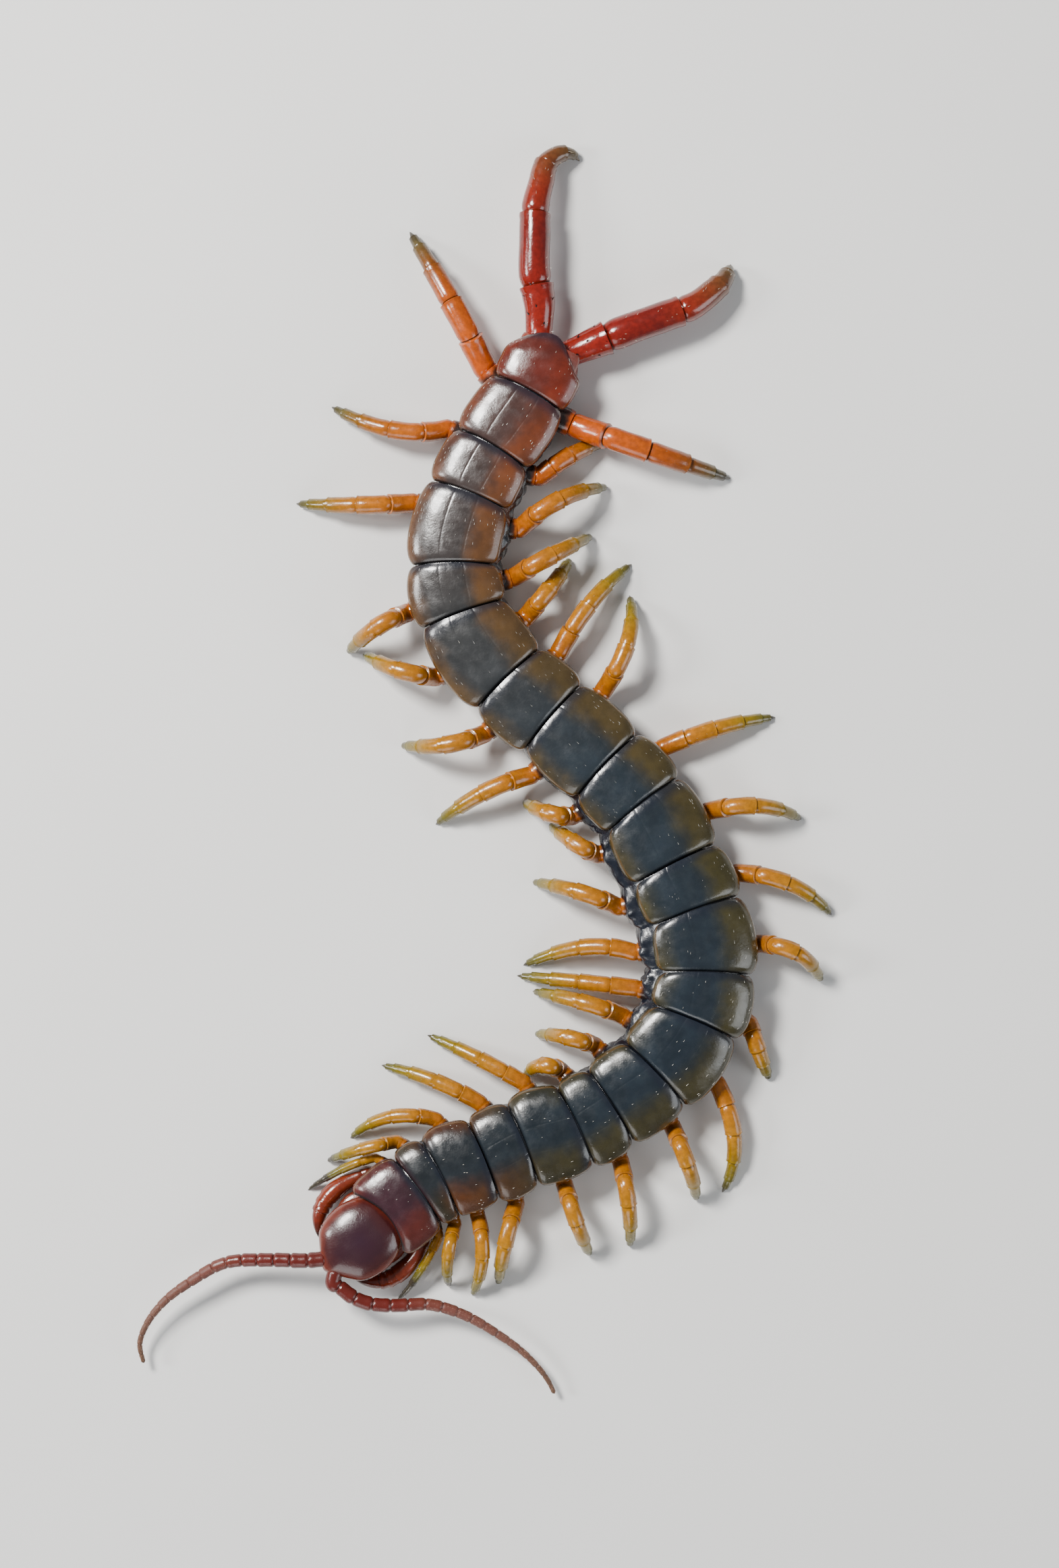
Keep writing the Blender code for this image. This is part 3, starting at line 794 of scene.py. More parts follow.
@dataclass
class BellyPlates:
    """The 21 flat plates of the belly."""

    trunk: Trunk
    gap: float = 0.12
    last_gap: float = 1.2
    width_share: float = 0.56
    height: float = 1.16
    thickness: float = 0.28
    crown: float = 0.1

    def build(self, finish: Material) -> None:
        """Builds the belly plates as one piece.

        Args:
            finish: Their material.
        """
        forge = Forge("station", "across", "share")
        trunk = self.trunk
        for index in range(1, COUNT + 1):
            front, rear = trunk.borders[index - 1] + self.gap, trunk.borders[index] - self.gap
            if index == COUNT:
                rear -= self.last_gap

            def place(
                x: Array, y: Array, front: float = front, rear: float = rear, index: int = index
            ) -> Placed:
                """Places one belly plate's grid.

                Args:
                    x: Shares across it, from 0 to 1.
                    y: Shares along it, from 0 to 1.
                    front: Where it starts on the spine.
                    rear: Where it ends on the spine.
                    index: The plate, counted from 1.

                Returns:
                    The places and the tags.
                """
                across, share = 2 * x - 1, y
                round_corner = 1 - 0.12 * np.abs(2 * share - 1) ** 4
                half = trunk.width((front + rear) / 2) / 2 * self.width_share * round_corner
                level = self.height - self.crown * (1 - across**2) * np.sin(math.pi * share) ** 0.4
                level = level + 0.03 * hump(np.abs(across), 0.42, 0.05)
                along = front + (rear - front) * share
                tags = {"station": index - 1 + share, "across": across, "share": share}
                return trunk.world(along, across * half, level), tags

            forge.sheet(20, 10, place, self.thickness)
        forge.settle("belly_plates", finish)


@dataclass(frozen=True)
class Step:
    """A leg's stance in plan: its knee, its foot, its root's place and how high it arches."""

    knee: tuple[float, float]
    foot: tuple[float, float]
    root: float = 0.5
    arch: float = 0.0


STEPS = {
    Side.RIGHT: (
        Step((-17.9, -36.8), (-21.3, -39.0), 0.7), Step((-16.1, -34.8), (-19.4, -36.2), 0.45),
        Step((-13.4, -31.8), (-17.2, -34.0), 0.3), Step((-9.2, -28.3), (-14.2, -27.0), 0.55),
        Step((-4.9, -26.2), (-9.8, -24.1), 0.3), Step((1.2, -26.8), (-0.3, -27.9), 0.4, 2.2),
        Step((3.6, -24.1), (0.6, -24.0), 0.34, 2.6), Step((5.2, -20.8), (0.3, -19.9), 0.33),
        Step((4.7, -18.9), (-1.2, -18.4), 0.24), Step((5.0, -15.6), (-0.6, -17.4)),
        Step((4.9, -10.3), (0.3, -9.4), 0.66), Step((4.3, -5.6), (2.0, -3.9), 0.55, 2.4),
        Step((1.6, -2.7), (-0.5, -1.7), 0.74, 2.4), Step((-4.5, -0.9), (-9.0, -3.9), 0.64),
        Step((-8.1, 3.7), (-12.3, 3.7), 0.65), Step((-12.7, 10.9), (-15.9, 12.5)),
        Step((-14.8, 14.7), (-17.4, 12.6), 0.3), Step((-16.7, 26.6), (-22.4, 26.9), 0.67),
        Step((-13.2, 33.8), (-19.0, 36.2), 0.92), Step((-7.6, 46.2), (-11.5, 53.0), 0.92),
    ),
    Side.LEFT: (
        Step((-10.9, -47.3), (-12.7, -49.5), 0.72), Step((-7.8, -45.4), (-7.7, -48.2), 0.4),
        Step((-4.5, -45.1), (-5.5, -49.1), 0.56), Step((-2.4, -44.2), (-3.0, -48.0), 0.22),
        Step((4.6, -42.0), (5.8, -45.2), 0.52), Step((9.5, -40.6), (9.6, -44.4), 0.46),
        Step((15.3, -36.9), (16.0, -39.9), 0.66), Step((19.6, -34.3), (18.5, -39.2), 0.46),
        Step((22.0, -25.8), (23.0, -28.3), 0.3, 0.9), Step((25.5, -16.1), (28.0, -18.9), 0.33),
        Step((25.0, -9.6), (29.0, -12.6), 0.32), Step((22.0, -2.1), (26.1, -3.4), 0.47),
        Step((18.5, 5.5), (23.6, 6.4), 0.46), Step((9.4, 13.7), (9.6, 18.1), 0.68),
        Step((6.1, 17.6), (9.8, 21.1), 0.57), Step((2.2, 19.0), (3.9, 21.6), 0.46, 1.6),
        Step((2.3, 21.8), (6.0, 23.8), 0.47), Step((3.1, 27.1), (7.5, 28.5), 0.72),
        Step((4.3, 31.6), (7.7, 33.0), 0.9, 0.5), Step((11.3, 31.7), (19.3, 29.3), 0.92, 2.3),
    ),
}


@dataclass(frozen=True)
class Article:
    """One stiff length of a leg between two joints, as shares of the leg's length."""

    start: float
    end: float
    start_radius: float
    end_radius: float
    rim: float


class Limb:
    """A centreline in space that carries the jointed lengths of a leg."""

    def __init__(self, line: Array) -> None:
        """Measures the line.

        Args:
            line: Its points, one a row, in millimetres.
        """
        self.line = line
        gone = distances(line)
        self.length = gone[-1]
        self.at = gone / gone[-1]

    def point(self, share: Array) -> Array:
        """Points at shares of the line's length, one a row."""
        share = np.atleast_1d(share)
        return np.column_stack([np.interp(share, self.at, self.line[:, axis]) for axis in range(3)])

    def axes(self, share: Array) -> tuple[Array, Array, Array]:
        """The line's own directions.

        Args:
            share: Shares of its length.

        Returns:
            Along it, level across it, and square to both.
        """
        step = 0.02
        along = unit(self.point(np.minimum(share + step, 1)) - self.point(np.maximum(share - step, 0)))
        across = unit(np.column_stack([-along[:, 1], along[:, 0], np.zeros(len(along))]))
        return along, across, np.cross(along, across)

    def eased(self, rounds: int) -> "Limb":
        """The same line with its sharp bends eased.

        Args:
            rounds: How many rounds.

        Returns:
            The eased line.
        """
        line = self.line.copy()
        for _ in range(rounds):
            line[1:-1] = (line[:-2] + 2 * line[1:-1] + line[2:]) / 4
        return Limb(line)

    def skin(self, turn: Array, share: Array, radius: Array, flatten: float = 1.0) -> Array:
        """Points on a tube round the line.

        Args:
            turn: Turns round it.
            share: Shares of its length, which may reach a little past its ends.
            radius: The tube's radius at each point.
            flatten: The tube's height as a share of its width.

        Returns:
            One point a row.
        """
        inside = np.clip(share, 0, 1)
        along, across, raised = self.axes(inside)
        spill = ((share - inside) * self.length)[:, None]
        round_it = np.cos(turn)[:, None] * across + flatten * np.sin(turn)[:, None] * raised
        return self.point(inside) + spill * along + radius[:, None] * round_it

    def quill(self, turn: float, share: float, step: float, inner: float, outer: float) -> Array:
        """Where a hair or spine on the line's skin starts and ends.

        Args:
            turn: Its turn round the line.
            share: Its base's share of the line's length.
            step: How much further on its tip is.
            inner: How far its base is from the line.
            outer: How far its tip is.

        Returns:
            Its base and its tip, one a row.
        """
        return self.skin(np.full(2, turn), np.array([share, share + step]), np.array([inner, outer]))


@dataclass
class JointedTube:
    """Builds the stiff lengths of a leg on its line, each with a swollen end and a lipped rim."""

    sides: int = 20
    rings: int = 18
    tuck: float = 0.16
    waist: float = 0.86
    swell: float = 0.05

    def add(
        self, forge: Forge, limb: Limb, article: Article, size: float, fade: float = 0.0, **tags: float
    ) -> None:
        """Adds one length.

        Args:
            forge: The piece that it goes into.
            limb: The leg's line.
            article: Where it lies and how thick it is.
            size: The radius that its shares are of.
            fade: How much further out on a leg its colour is read.
            **tags: Values that its vertices carry, besides its reach and joint.
        """
        tuck = self.tuck / limb.length

        def place(turn: Array, share: Array) -> Placed:
            """Places the length's rings.

            Args:
                turn: Turns round it.
                share: Shares of its length.

            Returns:
                The places and the tags.
            """
            spread = 0.5 - 0.5 * np.cos(math.pi * share) * (0.75 + 0.25 * np.cos(math.pi * share) ** 2)
            at = article.start - tuck + (article.end - article.start + tuck) * spread
            wide = article.start_radius + (article.end_radius - article.start_radius) * spread
            shape = self.waist + (1 - self.waist) * ease(spread, 0.0, 0.16)
            shape = shape + self.swell * hump(spread, 0.78, 0.2)
            shape = shape + article.rim * hump(spread, 0.955, 0.035) - 0.3 * ease(spread, 0.975, 1.0)
            shape = shape * (1 - 0.55 * hump(spread, 0.0, 0.02))
            radius = size * wide * shape
            return limb.skin(turn, at, radius), {"reach": at + fade, "joint": spread, **tags}

        forge.tube(self.sides, self.rings, place)

    def claw(self, forge: Forge, limb: Limb, start: float, thick: float, blunt: float, warmth: float) -> None:
        """Adds the curved claw at a leg's end.

        Args:
            forge: The leg.
            limb: Its line.
            start: Where the claw starts, as a share of the leg.
            thick: Its radius there.
            blunt: Its radius at its tip.
            warmth: How red it is.
        """

        def place(turn: Array, share: Array) -> Placed:
            """Places the claw's rings.

            Args:
                turn: Turns round it.
                share: Shares of its length.

            Returns:
                The places and the tags.
            """
            at = start - 0.01 + (1.01 - start) * share
            wide = thick * (1 - share) ** 0.8 + blunt
            return limb.skin(turn, at, wide), {"reach": at, "joint": share * 0.5, "warmth": warmth}

        forge.tube(12, 8, place)


@dataclass
class WalkingLegs:
    """The 20 pairs of walking legs."""

    trunk: Trunk
    tube: JointedTube = field(default_factory=JointedTube)
    pairs: tuple[float, ...] = (1, 2, 4, 10, 17, 19, 20)
    lengths: tuple[float, ...] = (9.0, 10.2, 11.6, 12.4, 12.8, 13.6, 17.2)
    radii: tuple[float, ...] = (0.42, 0.62, 0.78, 0.82, 0.87, 0.88, 1.12)
    root_height: float = 2.45
    root_heights: dict[int, float] = field(default_factory=lambda: {1: 2.78, 20: 2.3})
    root_gap: float = 0.36
    least_arch: float = 0.5
    most_arch: float = 3.3
    shoulder: float = 1.0
    shoulder_lean: float = 0.7
    rise_share: float = 0.22
    fall_power: float = 1.5
    halvings: int = 30
    warmths: tuple[tuple[float, ...], ...] = ((1, 3, 10, 16, 18, 20), (0.0, 0.0, 0.12, 0.16, 0.4, 1.0))
    fades: dict[int, float] = field(default_factory=lambda: {1: 0.3, 2: 0.1})
    hairs: int = 16
    hair_radius: float = 0.014
    hip: Article = Article(-0.06, 0.055, 1.2, 1.08, 0.02)
    articles: tuple[Article, ...] = (
        Article(0.05, 0.27, 1.06, 1.06, 0.05), Article(0.27, 0.5, 1.02, 0.98, 0.07),
        Article(0.5, 0.725, 0.96, 0.82, 0.07), Article(0.725, 0.88, 0.72, 0.6, 0.05),
        Article(0.88, 0.955, 0.52, 0.38, 0.03),
    )

    def limb(self, pair: int, side: Side) -> tuple[Limb, float]:
        """A leg's centreline, as the solid has it.

        Args:
            pair: The leg's pair, counted from the head.
            side: Its side.

        Returns:
            The line, and the leg's radius at its root.
        """
        trunk, sign = self.trunk, side.value
        step = STEPS[side][pair - 1]
        front, rear = trunk.borders[pair - 1], trunk.borders[pair]
        along = front + (rear - front) * step.root
        length = float(np.interp(pair, self.pairs, self.lengths))
        radius = float(np.interp(pair, self.pairs, self.radii))
        reach = sign * (trunk.flank(along, sign) + self.root_gap)
        root = trunk.world(along, reach, self.root_heights.get(pair, self.root_height))[0]
        out = sign * trunk.axes(along)[1][0]
        knee, foot = np.array(step.knee), np.array(step.foot)
        lean = unit(out[:2] + self.shoulder_lean * unit(knee - root[:2]))
        shoulder = root[:2] + self.shoulder * lean
        control = 2 * knee - (shoulder + foot) / 2
        t = np.linspace(0, 1, 48)[:, None]
        bend = (1 - t) ** 2 * shoulder + 2 * t * (1 - t) * control + t * t * foot
        plan = np.vstack([root[:2], bend])
        gone = distances(plan)
        share = gone / gone[-1]
        clear = self.shoulder / gone[-1]
        rise = 4 * share * (1 - share) * np.clip((share - clear) / self.rise_share, 0, 1)

        def line(arch: float) -> Array:
            """The leg's line at one arch."""
            return np.column_stack([plan, root[2] * (1 - share**self.fall_power) + arch * rise])

        low, high = (step.arch, step.arch) if step.arch else (self.least_arch, self.most_arch)
        for _ in range(self.halvings):
            arch = (low + high) / 2
            too_long = distances(line(arch))[-1] > length
            low, high = (low, arch) if too_long else (arch, high)
        return Limb(line(low)), radius

    def clear_ground(self, limb: Limb, radius: float) -> Limb:
        """Lifts a leg's line where its skin would reach under the ground.

        Args:
            limb: The leg's line.
            radius: Its radius at the root.

        Returns:
            The line, lifted.
        """
        shares = [0.0, 0.5, 0.725, 0.88, 0.955, 1.0]
        wide = np.interp(limb.at, shares, [1.0, 0.9, 0.72, 0.52, 0.34, 0.0]) * radius
        line = limb.line.copy()
        line[:, 2] = np.maximum(line[:, 2], wide + 0.04 * (limb.at < 0.99))
        return Limb(line)

    def build(self, finish: Material) -> None:
        """Builds the 40 legs, each as one piece in its solid's place.

        Args:
            finish: The legs' material.
        """
        for side in Side:
            for pair in range(1, COUNT):
                limb, radius = self.limb(pair, side)
                limb = self.clear_ground(limb, radius)
                self.one_leg(pair, side, limb, radius, finish)

    def one_leg(self, pair: int, side: Side, limb: Limb, radius: float, finish: Material) -> None:
        """Builds one walking leg.

        Args:
            pair: Its pair.
            side: Its side.
            limb: Its line.
            radius: Its radius at the root.
            finish: Its material.
        """
        forge = Forge("reach", "joint", "warmth")
        warmth = float(np.interp(pair, *self.warmths))
        fade = self.fades.get(pair, 0.0)
        self.tube.add(forge, limb, self.hip, radius, warmth=warmth)
        for article in self.articles:
            self.tube.add(forge, limb, article, radius, fade, warmth=warmth)
        self.tube.claw(forge, limb, 0.955, 0.27 * radius, 0.025 * radius, warmth)
        self.spurs(forge, limb, radius, warmth, seed=pair * 2 + side.value)
        name = side.name.lower()
        forge.settle(f"walking_leg_{name}_{pair:02d}", finish, [f"leg_{name}_{pair:02d}"])

    def spurs(self, forge: Forge, limb: Limb, radius: float, warmth: float, seed: int) -> None:
        """Adds the small spines at the last joints and a few fine hairs.

        Args:
            forge: The leg.
            limb: Its line.
            radius: Its radius at the root.
            warmth: How red it is.
            seed: Where the hairs' random places start.
        """
        draw = random.Random(seed)
        for share, wide, turn in ((0.725, 0.7, -0.9), (0.725, 0.7, -2.2), (0.88, 0.52, -1.6)):
            base, tip = limb.quill(turn, share - 0.008, 0.038, radius * wide * 0.95, radius * wide * 1.45)
            if tip[2] > 0.05:
                forge.spine(base, tip, 0.05, sides=5, reach=0.9, joint=0.5, warmth=warmth)
        for _ in range(self.hairs):
            share = draw.uniform(0.12, 0.93)
            wide = float(np.interp(share, [0.0, 0.5, 0.725, 0.955], [0.97, 0.88, 0.7, 0.4])) * radius
            turn = draw.uniform(-0.4, math.pi + 0.4)
            hair = limb.quill(turn, share, 0.012, wide * 0.97, wide + draw.uniform(0.12, 0.22))
            forge.spine(*hair, self.hair_radius, reach=2.0, joint=0.5, warmth=warmth)


@dataclass
class HindLegs:
    """The long pair of legs that trail behind the last plate."""

    trunk: Trunk
    tube: JointedTube = field(default_factory=lambda: JointedTube(sides=28, rings=22, tuck=0.3))
    root_side: float = 1.5
    root_height: float = 2.75
    gap: float = 0.3
    overhang: float = 0.22
    routes: dict[Side, tuple] = field(
        default_factory=lambda: {
            Side.RIGHT: (
                (0.95, 45.6, 2.9), (0.45, 49.0, 3.0), (0.5, 52.2, 3.0), (0.6, 55.3, 2.7), (1.1, 57.4, 2.3),
                (1.7, 59.4, 1.8), (3.4, 60.4, 1.2), (4.2, 60.3, 0.7), (4.8, 59.8, 0.0),
            ),
            Side.LEFT: (
                (6.5, 42.2, 2.8), (9.8, 43.5, 2.95), (12.9, 44.6, 2.9), (15.9, 45.8, 2.6),
                (17.3, 46.9, 2.2), (18.5, 48.1, 1.6), (19.0, 49.0, 0.9), (19.2, 49.5, 0.35),
                (19.3, 49.9, 0.0),
            ),
        }
    )
    joints: dict[Side, tuple[float, ...]] = field(
        default_factory=lambda: {
            Side.RIGHT: (0.0, 0.265, 0.58, 0.81, 0.91, 0.965),
            Side.LEFT: (0.0, 0.265, 0.63, 0.855, 0.93, 0.97),
        }
    )
    radii: tuple[float, ...] = (1.16, 1.56, 1.38, 1.08, 0.74, 0.4)
    hairs: int = 70
    hair_radius: float = 0.016
    horns: tuple[tuple[float, float], ...] = (
        (0.35, 1.9), (0.62, 1.35), (0.9, 1.85), (0.5, 0.75), (0.8, 0.5), (0.7, 2.6), (0.97, 1.2),
    )

    def limb(self, side: Side) -> Limb:
        """A hind leg's centreline, as the solid has it.

        Args:
            side: Its side.

        Returns:
            The line.
        """
        trunk = self.trunk
        turn = TAIL_OUTLINE.turn_left if side is Side.LEFT else TAIL_OUTLINE.turn_right
        end = trunk.borders[-1]
        back, left, up = (rows[0] for rows in trunk.axes(end))
        offset = -self.root_side * math.tan(turn)
        face = trunk.world(end, side.value * self.root_side, self.root_height, offset)[0]
        along_face = unit(side.value * left - math.tan(turn) * back)
        out = unit(np.cross(along_face, unit(up + self.overhang * back)) * -side.value)
        root = face + self.gap * out
        route = Route([root - 1.1 * out, root, *self.routes[side]])
        return Limb(route.point(np.linspace(0, route.at[-1], 90)))

    def build(self, finish: Material) -> None:
        """Builds both hind legs.

        Args:
            finish: Their material.
        """
        for side in Side:
            limb = self.limb(side)
            line = limb.line.copy()
            joints = self.joints[side]
            wide = np.interp(limb.at, [*joints, 1.0], [*self.radii, 0.0])
            line[:, 2] = np.maximum(line[:, 2], wide * 0.98 * (limb.at < 0.99))
            limb = Limb(line)
            forge = Forge("reach", "joint", "warmth")
            for start, end, first, last in zip(joints, joints[1:], self.radii, self.radii[1:]):
                article = Article(start, end, first, last, 0.07)
                self.tube.add(forge, limb, article, 1.0, warmth=1.0)
            self.tube.claw(forge, limb, joints[-1], 0.26, 0.02, 1.0)
            self.spines(forge, limb, joints, side)
            name = side.name.lower()
            forge.settle(f"hind_leg_{name}", finish, [f"leg_{name}_21"])

    def spines(self, forge: Forge, limb: Limb, joints: Sequence[float], side: Side) -> None:
        """Adds the short dark spines of the first length and fine hairs on all of them.

        Args:
            forge: The leg.
            limb: Its line.
            joints: Where its joints are.
            side: Its side.
        """
        first = joints[1]
        for share, turn in self.horns:
            horn = limb.quill(turn, first * share, 0.012, 1.4, 1.74)
            forge.spine(*horn, 0.1, sides=7, reach=3.0, joint=0.5, warmth=1.0)
        draw = random.Random(300 + side.value)
        for _ in range(self.hairs):
            share = draw.uniform(0.04, 0.95)
            wide = float(np.interp(share, [*joints, 1.0], [*self.radii, 0.1]))
            turn = draw.uniform(-0.5, math.pi + 0.5)
            hair = limb.quill(turn, share, 0.01, wide * 0.97, wide + draw.uniform(0.14, 0.26))
            forge.spine(*hair, self.hair_radius, reach=2.0, joint=0.5, warmth=1.0)


@dataclass
class Head:
    """The head: its shield, the eyes beside the feelers, and the mouth's parts below."""

    trunk: Trunk
    half_width: float = 3.75
    ahead: float = 4.6
    behind: float = 4.4
    face_turn: float = math.radians(35.0)
    face_reach: float = 3.95
    edge: float = 3.72
    crown: float = 5.42
    brim: float = 3.28
    tightness: float = 9.0
    beads: tuple[tuple[float, float, float, float], ...] = (
        (0.98, 0.955, 3.93, 0.17), (1.06, 0.95, 4.05, 0.16),
        (1.03, 0.975, 3.66, 0.15), (1.13, 0.965, 3.75, 0.16),
    )

    def point(self, ahead: Array, left: Array, height: Array) -> Array:
        """Points placed from the head's centre.

        Args:
            ahead: How far ahead of it.
            left: How far to its left.
            height: How high over the ground.

        Returns:
            One point a row.
        """
        back, _, _ = (rows[0] for rows in self.trunk.axes(self.trunk.borders[0]))
        level = np.array([back[1], -back[0], 0.0])
        centre = np.array([*self.trunk.head_centre, 0.0])
        rise = np.array([0.0, 0.0, 1.0])
        parts = (np.atleast_1d(ahead), -back), (np.atleast_1d(left), level), (np.atleast_1d(height), rise)
        return centre + sum(values[:, None] * way for values, way in parts)

    def outline(self, turn: Array) -> Array:
        """How far the shield's edge is from the head's centre.

        Args:
            turn: Turns from straight ahead.

        Returns:
            A distance for each turn.
        """
        long = np.where(np.cos(turn) > 0, self.ahead, self.behind)
        reach = 1 / np.hypot(np.cos(turn) / long, np.sin(turn) / self.half_width)
        for face in (self.face_turn, -self.face_turn):
            near = np.cos(turn - face)
            flat = np.where(near > 0.1, self.face_reach / np.maximum(near, 0.1), 99.0)
            reach = self._least(reach, flat)
        neck = math.dist(self.trunk.head_centre, self.trunk.front) + 0.1
        rear = np.where(np.cos(turn) < -0.1, neck / np.maximum(-np.cos(turn), 0.1), 99.0)
        return self._least(reach, rear)

    def _least(self, first: Array, second: Array) -> Array:
        """The smaller of two distances, with the corner between them rounded."""
        tight = self.tightness
        return -np.log(np.exp(-tight * first) + np.exp(-tight * second)) / tight

    def build(self, shield: Material, dark: Material) -> None:
        """Builds the shield with its underside, and the eyes.

        Args:
            shield: The shield's material.
            dark: The eyes' material.
        """
        forge = Forge("rise", "rim", "ahead", "aside")
        forge.tube(72, 34, self._place_shield)
        self._mouth(forge)
        forge.settle("head_shield", shield, ["head"])
        eyes = Forge()
        for side in Side:
            for turn, share, height, size in self.beads:
                reach = float(self.outline(np.array([turn]))[0]) * share
                spot = self.point(reach * math.cos(turn), side.value * reach * math.sin(turn), height)[0]
                eyes.ball(3, spot, np.eye(3) * size)
        eyes.settle("eyes", dark)

    def _place_shield(self, turn: Array, share: Array) -> Placed:
        """Places the shield's rings, from the middle of its underside over its edge to the crown.

        Args:
            turn: Turns from straight ahead.
            share: From 0 under the middle to 1 at the crown.

        Returns:
            The places and the tags.
        """
        under, over = ease(share, 0.0, 0.24), ease(share, 0.3, 1.0)
        out = np.where(share < 0.3, 0.3 + 0.7 * under**0.8, np.cos(over * math.pi / 2) ** 0.92)
        out = np.maximum(out, 0.004)
        top = self.edge + (self.crown - self.edge) * (1 - np.clip(out, 0, 1) ** 2.5) ** 0.52
        lower = self.brim + (self.edge - self.brim) * ease(share, 0.16, 0.3)
        height = np.where(share < 0.3, lower, top)
        height = height + 0.05 * hump(out, 0.955, 0.03) * (share > 0.3)
        reach = self.outline(turn) * out
        ahead, left = reach * np.cos(turn), reach * np.sin(turn)
        seam = hump(np.abs(left), 1.45 - 0.1 * ahead, 0.05) * ease(-ahead, 0.3, 1.4)
        middle = hump(left, 0.0, 0.06) * ease(ahead, 2.2, 3.4)
        height = height - 0.05 * (seam + middle) * (share > 0.32) * ease(1 - out, 0.0, 0.08)
        flat = self.point(ahead, left, height)
        wave = Ripple(7, 2.4).at(flat) * 0.02 * (share > 0.35) * ease(1 - out, 0.0, 0.15)
        flat[:, 2] += wave
        tags = {"rise": height, "rim": out, "ahead": ahead, "aside": left}
        return flat, tags

    def _mouth(self, forge: Forge) -> None:
        """Adds the lower head and the two pairs of mouth limbs under the shield.

        Args:
            forge: The head.
        """
        ahead, level = (self.point(a, u, 0)[0] - self.point(0, 0, 0)[0] for a, u in ((1, 0), (0, 1)))
        up = np.array([0.0, 0.0, 1.0])
        tags = {"rise": 2.0, "rim": 1.0, "ahead": 3.0, "aside": 0.0}
        forge.ball(4, self.point(0.5, 0, 2.75)[0], np.array([3.0 * ahead, 2.35 * level, 0.95 * up]), **tags)
        for side in Side:
            line = self.point(
                np.array([-0.4, 0.9, 2.1, 2.9, 3.2]),
                side.value * np.array([1.7, 1.9, 1.5, 0.9, 0.5]),
                np.array([2.1, 1.9, 1.85, 1.95, 2.1]),
            )
            limb = Limb(line)

            def place(turn: Array, share: Array, limb: Limb = limb) -> Placed:
                """Places a mouth limb's rings.

                Args:
                    turn: Turns round it.
                    share: Shares of its length.
                    limb: The line that it follows.

                Returns:
                    The places and the tags.
                """
                wide = 0.42 * np.interp(share, [0, 0.1, 0.5, 0.9, 1], [0.3, 1, 0.9, 0.55, 0.1])
                wide = wide * (1 - 0.2 * hump(share, 0.38, 0.03) - 0.2 * hump(share, 0.68, 0.03))
                return limb.skin(turn, share, wide), tags

            forge.tube(14, 24, place)


